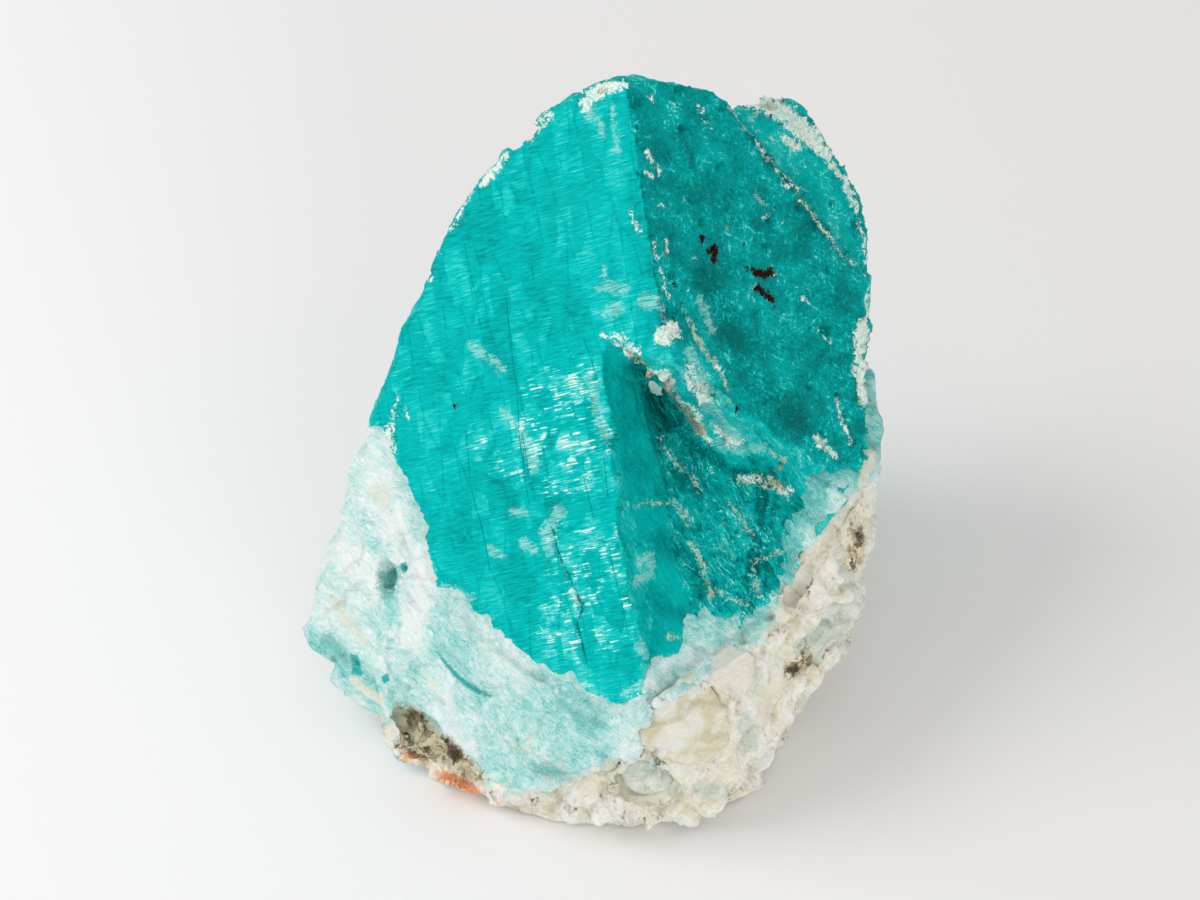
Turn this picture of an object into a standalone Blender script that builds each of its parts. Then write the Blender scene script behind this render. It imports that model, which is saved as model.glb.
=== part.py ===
"""Amazonite crystal on its matrix, as a standalone Blender script.

A blocky turquoise feldspar crystal with a smaller one grown against its back right side. Both are
rooted in pale feldspar, with three grains of quartz set in its skin. The crystal has two large flat
faces that meet in a ridge, and a splintered hollow where the lower end of the ridge has broken away.

The lists below are in millimetres: +X to the viewer's right, +Y away from the viewer, +Z up. The
origin is on the flat broken face underneath, that the specimen rests on.
"""

import math
import random

import bmesh
import bpy
from mathutils import Vector, noise

MM = 0.001
POCKET_GAP = 0.35  # how far a pocket's corners are pushed out, for a gap between two minerals
SECOND_POCKET_GAP = 0.7  # more for the smaller crystal, because of the fillet where it meets the main one
BURIED_CORNERS = 3  # how many of a grain's corners, at the end of its list, are inside the matrix

# The ridge between the two large faces runs from the tip down towards the viewer.
TIP = Vector((1.6, 12.5, 43.4))
RIDGE_FOOT = Vector((4.4, 1.5, 31.5))
LEFT_CORNER = Vector((-15.3, 2.3, 21.1))
RIGHT_CORNER = Vector((18.2, 1.9, 18.6))
RIDGE_LENGTH = 34.0

# Outlines of the two large faces as seen from above. Each face's plane gives the heights.
LEFT_FACE_OUTLINE = [
    (0.6, 12.9), (-1.9, 12.9), (-3.6, 12.5), (-6.3, 11.9), (-7.7, 11.4), (-9.4, 10.7), (-11.0, 9.0),
    (-12.9, 6.6), (-14.7, 4.2), (-15.8, 2.4), (-12.7, -1.6), (-11.2, -5.3), (-9.0, -6.9),
    (-3.6, -10.9), (-0.2, -12.4), (1.2, -13.5), (2.9, -13.6),
]
RIGHT_FACE_OUTLINE = [
    (3.8, 14.0), (5.8, 15.0), (7.0, 15.3), (8.4, 15.4), (12.1, 14.2), (15.8, 13.0), (18.1, 12.0),
    (18.2, 2.0), (15.6, -1.8), (11.8, -6.4),
]
# The right face's lower edge is broken off lower down than the face itself.
LOW_RIGHT_CORNERS = [
    (4.6, -13.2, 15.6), (5.4, -12.1, 16.3), (7.9, -10.3, 15.3), (11.6, -7.3, 14.2), (13.7, -3.1, 16.1),
    (16.4, 0.8, 17.2),
]
CRYSTAL_BACK = [
    (-6.0, 17.2, 30.0), (-12.4, 12.0, 22.0), (-12.8, 10.8, 13.0), (-3.0, 17.8, 12.5), (-0.5, 16.8, 37.8),
    (2.5, 18.5, 35.2), (8.5, 19.2, 33.0), (9.0, 18.8, 14.0), (15.7, 14.8, 17.0), (16.0, 15.5, 25.0),
    (0.0, 2.0, 7.0), (9.0, 2.0, 8.0),
]

# The smaller crystal's front face is parallel to the large right face, and behind it.
SECOND_SETBACK = 2.6
SECOND_FACE_OUTLINE = [
    (8.4, 18.2), (9.7, 19.0), (13.1, 20.9), (15.0, 20.6), (16.1, 20.1), (17.8, 19.1), (18.5, 17.5),
    (18.9, 14.8), (18.6, 11.8), (12.0, 8.0),
]
SECOND_BACK = [
    (10.0, 20.2, 32.0), (14.5, 21.8, 28.0), (17.4, 19.4, 22.0), (16.2, 18.6, 13.0), (10.0, 18.4, 12.0),
    (17.6, 12.0, 15.0),
]

# A flake has split off the left face, which leaves a ledge that runs out upwards: its outline from
# above, with its depth below the face.
LEDGE = [
    (-3.0, 5.6, -0.5), (-4.8, 2.6, -0.1), (-5.6, -0.1, 0.25), (-4.6, -3.4, 0.35), (-0.6, -12.9, 0.35),
    (3.3, -13.4, 0.35), (3.6, -9.4, 0.35), (1.4, -2.4, 0.25), (0.1, 3.0, -0.3),
]
LEDGE_REACH = 3.0  # how far the cutter stands out of the face

# The hollow's rim on the left face, its rim on the right face and its floor.
HOLLOW_LEFT_RIM = [(0.0, 2.1), (0.3, 0.2), (1.3, -3.3), (3.1, -6.6), (3.4, -9.4), (3.1, -12.0), (3.0, -14.6)]
HOLLOW_RIGHT_RIM = [
    (2.6, -0.3), (4.3, -0.4), (6.0, -1.5), (8.5, -2.9), (10.1, -2.6), (12.7, -1.8), (15.1, -0.2),
]
HOLLOW_FLOOR = [
    # crevice under the right rim
    (3.2, 2.9, 24.9), (6.0, 1.3, 22.0), (7.2, -0.1, 21.3), (8.8, -1.3, 20.3), (12.7, -1.1, 18.4),
    # foot of the smooth left wall
    (3.8, -0.7, 22.2), (5.7, -3.8, 19.4), (6.6, -9.8, 15.8), (4.7, -12.4, 15.6),
    # lower end, past the edge of the crystal
    (7.7, -12.8, 14.3), (13.9, -8.0, 13.2), (15.8, -4.0, 16.1), (17.6, -1.2, 17.6),
]
HOLLOW_LIFT = 5.0  # how far the cutter stands out of the faces

BODY_CORNERS = [
    # upper rim, just outside the crystal
    (-16.6, 2.2, 19.6), (-12.4, -5.4, 14.4), (-9.6, -8.0, 13.1), (-3.6, -12.2, 11.5), (0.6, -14.2, 10.7),
    (3.2, -14.3, 12.4), (6.4, -13.0, 15.3), (9.3, -11.3, 14.8), (12.9, -8.3, 14.2), (14.9, -4.3, 16.0),
    (17.4, 0.2, 17.4), (19.3, 2.2, 18.2), (19.4, 5.2, 20.6), (19.2, 9.0, 20.8), (18.7, 13.2, 19.0),
    # left side and its lower edge
    (-17.6, 0.5, 16.7), (-19.3, -2.0, 11.5), (-20.0, -3.2, 7.4), (-19.5, -3.8, 6.2), (-17.5, -5.0, 3.4),
    (-15.8, -6.4, 2.4), (-13.8, -8.4, 1.0), (-11.8, -10.4, 0.8), (-8.6, -12.0, 0.9), (-18.0, 4.0, 6.0),
    (-14.5, 10.5, 6.5), (-14.0, 11.0, 12.0),
    # front
    (-6.2, -13.9, 1.4), (-4.0, -14.6, 4.4), (0.4, -15.4, 2.4), (1.5, -15.5, 4.5), (4.0, -15.3, 1.8),
    (6.8, -14.9, 3.6), (8.4, -14.4, 2.6), (10.0, -12.9, 5.5),
    # right side and its lower edge
    (10.2, -12.0, 1.0), (12.0, -10.0, 1.4), (13.0, -8.0, 3.4), (19.2, 3.0, 17.1), (19.0, 1.0, 14.2),
    (18.5, -1.0, 11.4), (18.0, -2.0, 8.4), (17.4, -2.6, 6.4), (15.5, -4.3, 4.6), (17.5, 9.0, 7.0),
    (17.4, 13.5, 12.0), (17.0, 17.8, 17.0),
    # back
    (-3.5, 18.8, 11.0), (-3.0, 17.5, 4.5), (9.5, 20.0, 13.0), (9.0, 18.0, 4.5), (14.0, 19.2, 15.0),
]
FOOT_TOP = 6.0
FOOT_TAPER = 0.96
FOOT_OUTLINE = [
    (-12.6, -8.2), (-11.0, -10.0), (-8.3, -11.4), (-5.8, -13.4), (0.0, -14.7), (3.7, -14.3), (6.9, -13.5),
    (9.7, -12.2), (11.6, -9.9), (13.2, -6.2), (13.6, 4.0), (9.8, 13.0), (1.0, 15.5), (-8.0, 12.5),
    (-12.6, 4.0), (-13.0, -4.0),
]
LUMPS = 90  # stones round the body's lower edge
LOWER_EDGE_TOP = 8.5

# Holes in the matrix: points along each one, and its radius.
PITS = [
    ([(-14.0, -3.8, 13.4), (-14.2, -3.6, 14.4)], 1.2),
    ([(-13.4, -2.8, 15.4)], 0.8),
    ([(-10.7, -8.1, 10.9), (-9.0, -9.2, 9.7), (-7.3, -10.4, 9.4)], 0.6),
    ([(-12.8, -8.1, 4.3), (-11.2, -9.4, 3.8)], 1.8),
    ([(-9.8, -11.0, 3.2), (-8.6, -12.0, 2.6)], 1.2),
    ([(13.3, -6.6, 14.4)], 0.8),
    ([(17.9, -1.2, 14.0), (18.3, -0.9, 12.4)], 0.9),
]

# Corners of each grain: the first ones show, and the last three are inside the matrix.
QUARTZ_GRAINS = {
    "quartz_grain_front": [
        (3.2, -13.8, 11.8), (4.5, -13.1, 12.9), (6.3, -12.5, 13.2), (7.2, -12.5, 12.6), (8.1, -12.7, 11.0),
        (8.8, -13.0, 9.4), (8.7, -13.5, 7.8), (6.8, -14.4, 6.7), (5.7, -14.8, 6.6), (4.1, -14.8, 8.0),
        (2.6, -14.8, 9.2), (5.6, -14.4, 9.6), (4.0, -10.5, 9.0), (7.0, -10.0, 8.0), (6.5, -10.0, 11.0),
    ],
    "quartz_grain_low": [
        (2.2, -14.2, 7.4), (3.9, -14.1, 6.9), (5.3, -14.2, 5.4), (4.4, -14.7, 4.2), (2.7, -15.0, 3.8),
        (1.4, -14.9, 4.8), (1.0, -14.6, 6.2), (2.0, -11.5, 6.0), (4.0, -11.5, 5.0), (3.0, -11.5, 4.2),
    ],
    "quartz_grain_right": [
        (13.8, -6.6, 9.4), (14.1, -6.0, 11.6), (15.4, -4.6, 12.0), (18.1, -2.4, 10.4), (18.2, -2.5, 8.2),
        (17.1, -3.7, 7.0), (15.6, -5.2, 6.6), (14.2, -6.4, 7.6), (12.5, -3.0, 8.5), (14.5, -1.0, 10.0),
        (15.0, -1.5, 7.5),
    ],
}

CRYSTAL_VOXEL = 0.45
MATRIX_VOXEL = 0.6
QUARTZ_VOXEL = 0.35
CRYSTAL_TRIANGLES = 3500
MATRIX_TRIANGLES = 4200
QUARTZ_TRIANGLES = 260
GROUND_SIDE = 80.0  # of the block that cuts the rest face flat
FACE_SKIN = 0.35  # a point this near a large face is on it
FACE_RELIEF = 0.06
SPLINTER_RELIEF = 0.3
QUARTZ_RELIEF = 0.12
MATRIX_COARSE = 0.55
MATRIX_FINE = 0.25
SAME_WAY = 0.9  # where a normal points the same way as a face's, as a cosine
ROOT_TOP = 21.0  # below this the steep sides of the crystals are inside the matrix
ROOT_STEEP = 0.25
POCKET_REACH = 4.0  # how far a pocket is cut on outwards, so that no matrix hangs over what it holds
SEED = 7

COLOURS = {
    "amazonite": ((0.004, 0.42, 0.40), 0.35),
    "feldspar": ((0.66, 0.76, 0.71), 0.75),
    "quartz": ((0.62, 0.60, 0.50), 0.25),
}


def clear_scene():
    for obj in list(bpy.data.objects):
        bpy.data.objects.remove(obj, do_unlink=True)


def make_material(name):
    colour, roughness = COLOURS[name]
    material = bpy.data.materials.new(name)
    material.use_nodes = True
    shader = material.node_tree.nodes["Principled BSDF"]
    shader.inputs["Base Color"].default_value = (*colour, 1.0)
    shader.inputs["Roughness"].default_value = roughness
    return material


class Face:
    """A flat crystal face through three points, with its normal pointing up."""

    def __init__(self, a, b, c):
        self.point = Vector(a)
        self.normal = (Vector(b) - Vector(a)).cross(Vector(c) - Vector(a)).normalized()
        if self.normal.z < 0:
            self.normal.negate()

    def at(self, x, y):
        n = self.normal
        z = self.point.z - (n.x * (x - self.point.x) + n.y * (y - self.point.y)) / n.z
        return Vector((x, y, z))

    def shifted(self, distance):
        moved = Face.__new__(Face)
        moved.point = self.point + self.normal * distance
        moved.normal = self.normal.copy()
        return moved

    def depth(self, point):
        return (self.point - point).dot(self.normal)


LEFT_FACE = Face(TIP, RIDGE_FOOT, LEFT_CORNER)
RIGHT_FACE = Face(TIP, RIDGE_FOOT, RIGHT_CORNER)
SECOND_FACE = RIGHT_FACE.shifted(-SECOND_SETBACK)


def new_object(name, mesh):
    obj = bpy.data.objects.new(name, mesh)
    bpy.context.scene.collection.objects.link(obj)
    return obj


def add_hull(bm, corners, grow=0.0):
    """Adds the convex block with these corners, each pushed out from the middle by grow."""
    middle = sum((Vector(c) for c in corners), Vector()) / len(corners)
    verts = []
    for corner in corners:
        outward = (Vector(corner) - middle).normalized()
        verts.append(bm.verts.new((Vector(corner) + outward * grow) * MM))
    made = bmesh.ops.convex_hull(bm, input=verts)
    inside = [g for g in made["geom_interior"] if isinstance(g, bmesh.types.BMVert)]
    bmesh.ops.delete(bm, geom=inside, context="VERTS")


def set_material(obj, material):
    obj.data.materials.clear()
    obj.data.materials.append(material)


def hull_object(name, *blocks, grow=0.0):
    """One object that holds a convex block for each list of corners."""
    mesh = bpy.data.meshes.new(name)
    bm = bmesh.new()
    for corners in blocks:
        add_hull(bm, corners, grow)
    bmesh.ops.recalc_face_normals(bm, faces=bm.faces)
    bm.to_mesh(mesh)
    bm.free()
    return new_object(name, mesh)


def settle(obj):
    """Replaces the object's mesh by what its modifiers make of it."""
    bpy.context.view_layer.update()
    graph = bpy.context.evaluated_depsgraph_get()
    mesh = bpy.data.meshes.new_from_object(obj.evaluated_get(graph))
    obj.modifiers.clear()
    obj.data = mesh
    return obj


def cut(obj, other):
    """Cuts other out of obj, and removes other."""
    modifier = obj.modifiers.new("cut", "BOOLEAN")
    modifier.operation = "DIFFERENCE"
    modifier.object = other
    settle(obj)
    bpy.data.objects.remove(other, do_unlink=True)
    return obj


def remesh(obj, voxel):
    """Turns overlapping blocks into one skin of even small faces."""
    modifier = obj.modifiers.new("skin", "REMESH")
    modifier.mode = "VOXEL"
    modifier.voxel_size = voxel * MM
    return settle(obj)


def thin_out(obj, triangles):
    """Keeps about this many triangles, most of them where the surface is rough."""
    obj.data.calc_loop_triangles()
    modifier = obj.modifiers.new("thin", "DECIMATE")
    modifier.ratio = triangles / len(obj.data.loop_triangles)
    modifier.use_collapse_triangulate = True
    return settle(obj)


def keep_largest(obj):
    """Removes crumbs that a cut has left loose."""
    bm = bmesh.new()
    bm.from_mesh(obj.data)
    left = set(bm.verts)
    islands = []
    while left:
        island, front = set(), [left.pop()]
        while front:
            vert = front.pop()
            island.add(vert)
            for edge in vert.link_edges:
                other = edge.other_vert(vert)
                if other in left:
                    left.remove(other)
                    front.append(other)
        islands.append(island)
    islands.sort(key=len)
    for island in islands[:-1]:
        bmesh.ops.delete(bm, geom=list(island), context="VERTS")
    bm.to_mesh(obj.data)
    bm.free()
    return obj


def fractal(point, size, octaves=4):
    """Smooth noise from about -1 to 1 whose largest features are size millimetres across."""
    return noise.fractal(point / size, 1.0, 2.1, octaves, noise_basis="PERLIN_ORIGINAL")


def displace(obj, offset):
    """Moves every point along its normal by offset(point, normal), all in millimetres."""
    mesh = obj.data
    normals = [v.normal.copy() for v in mesh.vertices]
    for vert, normal in zip(mesh.vertices, normals):
        vert.co += normal * offset(vert.co / MM, normal) * MM
    mesh.update()
    return obj


def wear_edges(obj, size, amount, rounds):
    """Smooths the surface in patches, which chips the sharp edges there and leaves flat faces flat."""
    bm = bmesh.new()
    bm.from_mesh(obj.data)
    for step in range(rounds):
        worn = [v for v in bm.verts if fractal(v.co / MM + Vector((31.0, 7.0, step * 0.3)), size) > amount]
        bmesh.ops.smooth_vert(bm, verts=worn, factor=0.5, use_axis_x=True, use_axis_y=True, use_axis_z=True)
    bm.to_mesh(obj.data)
    bm.free()
    return obj


def ridge_end():
    along = (RIDGE_FOOT - TIP).normalized()
    return TIP + along * RIDGE_LENGTH


def left_corners():
    return [LEFT_FACE.at(x, y) for x, y in LEFT_FACE_OUTLINE]


def right_corners():
    return [RIGHT_FACE.at(x, y) for x, y in RIGHT_FACE_OUTLINE] + [Vector(c) for c in LOW_RIGHT_CORNERS]


def main_block():
    return [TIP, ridge_end()] + left_corners() + right_corners() + CRYSTAL_BACK


def second_corners():
    return [SECOND_FACE.at(x, y) for x, y in SECOND_FACE_OUTLINE]


def hollow_cutter():
    rim = [LEFT_FACE.at(x, y) for x, y in HOLLOW_LEFT_RIM]
    raised = [p + LEFT_FACE.normal * HOLLOW_LIFT for p in rim]
    other = [RIGHT_FACE.at(x, y) for x, y in HOLLOW_RIGHT_RIM]
    raised += [p + RIGHT_FACE.normal * HOLLOW_LIFT for p in other]
    return hull_object("hollow_cutter", rim + other + raised + HOLLOW_FLOOR)


def ledge_cutter():
    floor = [LEFT_FACE.shifted(-depth).at(x, y) for x, y, depth in LEDGE]
    return hull_object("ledge_cutter", floor + [p + LEFT_FACE.normal * LEDGE_REACH for p in floor])


def crystal_skin(point, normal):
    """Nearly flat on the three large faces and inside the matrix, splintered or uneven elsewhere."""
    on_face = min(abs(face.depth(point)) for face in (LEFT_FACE, RIGHT_FACE, SECOND_FACE)) < FACE_SKIN
    if on_face and max(normal.dot(LEFT_FACE.normal), normal.dot(RIGHT_FACE.normal)) > SAME_WAY:
        return FACE_RELIEF * fractal(point, 3.0)
    if point.z < ROOT_TOP and normal.z < ROOT_STEEP:
        return FACE_RELIEF * (fractal(point, 3.0) - 1.0)
    splinters = Vector((point.x * 1.6, point.y * 0.5, point.z * 0.6))
    return SPLINTER_RELIEF * fractal(splinters, 2.2) - 0.08


def build_crystal(material):
    second = second_corners() + SECOND_BACK
    crystal = hull_object("amazonite_crystal", main_block(), second)
    remesh(crystal, CRYSTAL_VOXEL)
    cut(crystal, hollow_cutter())
    remesh(crystal, CRYSTAL_VOXEL)
    wear_edges(crystal, 3.5, 0.05, 4)
    displace(crystal, crystal_skin)
    thin_out(crystal, CRYSTAL_TRIANGLES)
    cut(crystal, ledge_cutter())
    set_material(crystal, material)
    return keep_largest(crystal)


def lump(centre, radius, rng):
    """Corners of a small angular stone."""
    corners = []
    for _ in range(12):
        way = Vector((rng.gauss(0, 1), rng.gauss(0, 1), rng.gauss(0, 1))).normalized()
        corners.append(centre + way * radius * rng.uniform(0.75, 1.0))
    return corners


def pit(points, radius, rng):
    """A hole as long as its row of points."""
    corners = []
    for point in points:
        corners += lump(Vector(point), radius, rng)
    return hull_object("pit", corners)


def crystal_pocket():
    """Room for the main crystal, with the space in front of its two large faces."""
    corners = [p + LEFT_FACE.normal * POCKET_REACH for p in left_corners()]
    corners += [p + RIGHT_FACE.normal * POCKET_REACH for p in right_corners()]
    return hull_object("crystal_pocket", main_block() + corners, grow=POCKET_GAP)


def second_pocket():
    front = second_corners()
    raised = [p + SECOND_FACE.normal * POCKET_REACH for p in front]
    return hull_object("second_pocket", front + SECOND_BACK + raised, grow=SECOND_POCKET_GAP)


def grain_pocket(name, corners):
    """Room for a grain, open on the side away from the middle of the specimen."""
    outward = sum((Vector(c) for c in corners), Vector())
    outward = Vector((outward.x, outward.y, 0.0)).normalized() * POCKET_REACH
    opened = [Vector(c) + outward for c in corners[:-BURIED_CORNERS]]
    return hull_object(name + "_pocket", corners + opened, grow=POCKET_GAP)


def lumps_along(outline, count, rng):
    """Small stones round the body's lower edge and the foot."""
    made = []
    for i in range(count):
        along = i / count * len(outline)
        a, b = outline[int(along)], outline[(int(along) + 1) % len(outline)]
        centre = Vector(a).lerp(Vector(b), along % 1.0)
        inward = Vector((-centre.x, -centre.y, 0.0)).normalized() * rng.uniform(0.4, 1.6)
        centre += inward + Vector((0, 0, rng.uniform(-0.8, 1.6)))
        radius = rng.uniform(0.9, 1.9)
        centre.z = max(centre.z, radius * 0.9)
        made.append(lump(centre, radius, rng))
    return made


def matrix_skin(point, normal):
    """Crumbly, coarse on the lower part and finer where the skin meets the crystal."""
    coarse = MATRIX_COARSE * fractal(point, 4.5) + MATRIX_FINE * fractal(point + Vector((9, 3, 1)), 1.6)
    grounded = min(1.0, max(0.0, (point.z - 0.2) / 1.5))
    return coarse * (0.35 + 0.65 * grounded)


def build_matrix(material):
    rng = random.Random(SEED)
    foot = [(x, y, 0.0) for x, y in FOOT_OUTLINE]
    foot += [(x * FOOT_TAPER, y * FOOT_TAPER, FOOT_TOP) for x, y in FOOT_OUTLINE]
    lower_edge = [(x, y, z) for x, y, z in BODY_CORNERS if z < LOWER_EDGE_TOP]
    lower_edge.sort(key=lambda c: math.atan2(c[1], c[0]))
    stones = lumps_along(lower_edge, LUMPS, rng)
    matrix = hull_object("feldspar_matrix", BODY_CORNERS, foot, *stones)
    remesh(matrix, MATRIX_VOXEL)
    displace(matrix, matrix_skin)
    thin_out(matrix, MATRIX_TRIANGLES)
    for points, radius in PITS:
        cut(matrix, pit(points, radius, rng))
    cut(matrix, crystal_pocket())
    cut(matrix, second_pocket())
    for name, corners in QUARTZ_GRAINS.items():
        cut(matrix, grain_pocket(name, corners))
    side = GROUND_SIDE / 2
    ground = [(x, y, z) for x in (-side, side) for y in (-side, side) for z in (-side, 0.0)]
    cut(matrix, hull_object("ground", ground))
    set_material(matrix, material)
    return keep_largest(matrix)


def quartz_skin(point, normal):
    return QUARTZ_RELIEF * fractal(point + Vector((4, 2, 8)), 2.0)


def build_quartz(material):
    for name, corners in QUARTZ_GRAINS.items():
        grain = hull_object(name, corners)
        remesh(grain, QUARTZ_VOXEL)
        wear_edges(grain, 2.0, 0.0, 2)
        displace(grain, quartz_skin)
        thin_out(grain, QUARTZ_TRIANGLES)
        set_material(grain, material)


def main():
    clear_scene()
    build_crystal(make_material("amazonite"))
    build_matrix(make_material("feldspar"))
    build_quartz(make_material("quartz"))


main()
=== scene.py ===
"""Looks of the amazonite crystal on its matrix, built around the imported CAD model.

Each CAD node is shown by a finely remeshed copy of it, with the relief of broken and grown mineral
surfaces worked into the mesh, and fields painted on its points that the materials read. Lengths are
in millimetres up to the point where they are written into a mesh.
"""

import math

import bpy
import numpy as np
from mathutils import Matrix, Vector
from mathutils.bvhtree import BVHTree


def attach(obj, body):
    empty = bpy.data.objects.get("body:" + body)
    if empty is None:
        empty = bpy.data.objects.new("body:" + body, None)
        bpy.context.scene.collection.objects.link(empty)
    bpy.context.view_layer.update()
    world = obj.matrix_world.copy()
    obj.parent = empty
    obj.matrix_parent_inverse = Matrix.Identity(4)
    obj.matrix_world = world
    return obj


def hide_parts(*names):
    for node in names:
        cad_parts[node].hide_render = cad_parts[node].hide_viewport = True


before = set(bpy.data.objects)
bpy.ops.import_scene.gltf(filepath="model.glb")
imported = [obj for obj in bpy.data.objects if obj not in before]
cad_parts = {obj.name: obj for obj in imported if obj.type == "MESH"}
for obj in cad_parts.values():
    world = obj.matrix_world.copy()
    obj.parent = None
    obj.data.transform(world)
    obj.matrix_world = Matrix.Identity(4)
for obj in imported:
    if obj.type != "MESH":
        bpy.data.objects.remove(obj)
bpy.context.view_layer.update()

MM = 0.001
MOST_TRIANGLES = 195000  # in one piece
FAR = 2.0  # beyond this many mm from a feature, the distance to it isn't worked out

# The camera looks along +Y, down at 45 degrees. Features are placed by the photograph's pixels.
ELEVATION = math.radians(45)
TARGET = np.array([0.0, 0.0, 22.0])
LENS, SENSOR = 100.0, 36.0
MM_PER_PIXEL = 0.0664
WIDTH, HEIGHT = 1200, 900
MIDDLE_X, MIDDLE_Y = 600, 480  # a pixel in the middle of the specimen
PIXELS_APART = 14  # between the places along a line, about a millimetre
DISTANCE = MM_PER_PIXEL * WIDTH / SENSOR * LENS
SCREEN_UP = np.array([0.0, math.sin(ELEVATION), math.cos(ELEVATION)])
TO_EYE = np.array([0.0, -math.cos(ELEVATION), math.sin(ELEVATION)])
EYE = TARGET + TO_EYE * DISTANCE

# The crystal's large faces: the left and right one meet in the ridge, and the second crystal's
# face lies behind the right one.
TIP = np.array([1.6, 12.5, 43.4])
LEFT_NORMAL = np.array([-0.343, -0.729, 0.593])
RIGHT_NORMAL = np.array([0.592, -0.517, 0.618])
SECOND_SETBACK = 2.6
INSIDE = np.array([0.0, 6.0, 19.0])  # well within the crystal


def unit(v):
    return np.asarray(v, float) / np.linalg.norm(v)


def unit_rows(v):
    return v / np.maximum(np.linalg.norm(v, axis=1), 1e-9)[:, None]


def on_screen(angle, normal):
    """The direction in a plane that looks tilted by this many degrees from the camera."""
    right = np.array([1.0, 0.0, 0.0])
    way = right * math.cos(math.radians(angle)) + SCREEN_UP * math.sin(math.radians(angle))
    return unit(way - TO_EYE * np.dot(way, normal) / np.dot(TO_EYE, normal))


LEFT_NORMAL, RIGHT_NORMAL = unit(LEFT_NORMAL), unit(RIGHT_NORMAL)
STREAK = on_screen(13.0, LEFT_NORMAL)
CLEAVAGE = on_screen(-80.0, LEFT_NORMAL)
FIBRES = on_screen(-62.0, RIGHT_NORMAL)
ACROSS_STREAK = unit(np.cross(LEFT_NORMAL, STREAK))
ACROSS_CLEAVAGE = unit(np.cross(LEFT_NORMAL, CLEAVAGE))


# Noise on arrays of points


def mix_bits(x, y, z, salt):
    h = (x * 73856093) ^ (y * 19349663) ^ (z * 83492791) ^ (salt * 668265263)
    h &= 0xFFFFFFFF
    h = ((h ^ (h >> 15)) * 2246822519) & 0xFFFFFFFF
    h = ((h ^ (h >> 13)) * 3266489917) & 0xFFFFFFFF
    return h ^ (h >> 16)


def perlin(p, salt=0):
    """Smooth noise from about -1 to 1, with features about one unit across."""
    base = np.floor(p).astype(np.int64)
    f = p - base
    fade = f * f * f * (f * (f * 6 - 15) + 10)
    total = np.zeros(len(p))
    for dx in (0, 1):
        for dy in (0, 1):
            for dz in (0, 1):
                h = mix_bits(base[:, 0] + dx, base[:, 1] + dy, base[:, 2] + dz, salt)
                gx = (h & 1023) / 511.5 - 1
                gy = ((h >> 10) & 1023) / 511.5 - 1
                gz = ((h >> 20) & 1023) / 511.5 - 1
                dot = gx * (f[:, 0] - dx) + gy * (f[:, 1] - dy) + gz * (f[:, 2] - dz)
                wx = fade[:, 0] if dx else 1 - fade[:, 0]
                wy = fade[:, 1] if dy else 1 - fade[:, 1]
                wz = fade[:, 2] if dz else 1 - fade[:, 2]
                total += wx * wy * wz * dot
    return total * 1.5


def fbm(p, size, octaves=4, gain=0.5, salt=0):
    total, amount, weight = np.zeros(len(p)), 1.0, 0.0
    for i in range(octaves):
        total += amount * perlin(p * (2.03**i / size), salt + 7 * i)
        weight += amount
        amount *= gain
    return total / weight


def ridged(p, size, octaves=4, salt=0):
    """Sharp crests, from 0 to 1."""
    total, amount, weight = np.zeros(len(p)), 1.0, 0.0
    for i in range(octaves):
        total += amount * (1 - np.abs(perlin(p * (2.03**i / size), salt + 7 * i)) * 1.6)
        weight += amount
        amount *= 0.5
    return np.clip(total / weight, 0, 1)


def cells(p, size, salt=0):
    """The distance to the nearest grain centre, and the height of a face that lies aslant across each grain."""
    q = p / size
    base = np.floor(q).astype(np.int64)
    first = np.full(len(p), 9.0)
    tilt = np.zeros(len(p))
    for dx in (-1, 0, 1):
        for dy in (-1, 0, 1):
            for dz in (-1, 0, 1):
                corner = base + (dx, dy, dz)
                h = mix_bits(corner[:, 0], corner[:, 1], corner[:, 2], salt)
                place = np.stack([h & 1023, (h >> 10) & 1023, (h >> 20) & 1023], 1) / 1023.0
                d = np.linalg.norm(corner + place - q, axis=1)
                nearer = d < first
                other = mix_bits(h, h, h, 3)
                slope = np.stack([other & 1023, (other >> 10) & 1023, (other >> 20) & 1023], 1) / 511.5 - 1
                tilt = np.where(nearer, ((q - corner - place) * slope).sum(1), tilt)
                first = np.where(nearer, d, first)
    return first * size, tilt


def smoothstep(low, high, x):
    t = np.clip((x - low) / (high - low), 0, 1)
    return t * t * (3 - 2 * t)


# Places and masks


def pixels(p):
    """Where points appear in the photograph."""
    q = p - EYE
    depth = -(q @ TO_EYE)
    scale = DISTANCE / MM_PER_PIXEL / depth
    return np.stack([WIDTH / 2 + q[:, 0] * scale, HEIGHT / 2 - (q @ SCREEN_UP) * scale], 1)


def towards_eye(p, n):
    """From 1 where a surface looks at the camera to -1 where it looks away."""
    way = EYE - p
    return (way * n).sum(1) / np.linalg.norm(way, axis=1)


def inside_polygon(xy, corners):
    """How far pixels are inside an outline, in mm; negative outside."""
    corners = np.array(corners, float)
    x, y = xy[:, 0], xy[:, 1]
    inside = np.zeros(len(xy), bool)
    gap = np.full(len(xy), 1e9)
    for a, b in zip(corners, np.roll(corners, -1, 0)):
        crosses = (a[1] > y) != (b[1] > y)
        at = (b[0] - a[0]) * (y - a[1]) / (b[1] - a[1] or 1.0) + a[0]
        inside ^= crosses & (x < at)
        d = b - a
        t = np.clip(((xy - a) @ d) / max(d @ d, 1e-9), 0, 1)
        gap = np.minimum(gap, np.linalg.norm(xy - a - t[:, None] * d, axis=1))
    return np.where(inside, gap, -gap) * MM_PER_PIXEL


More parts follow.
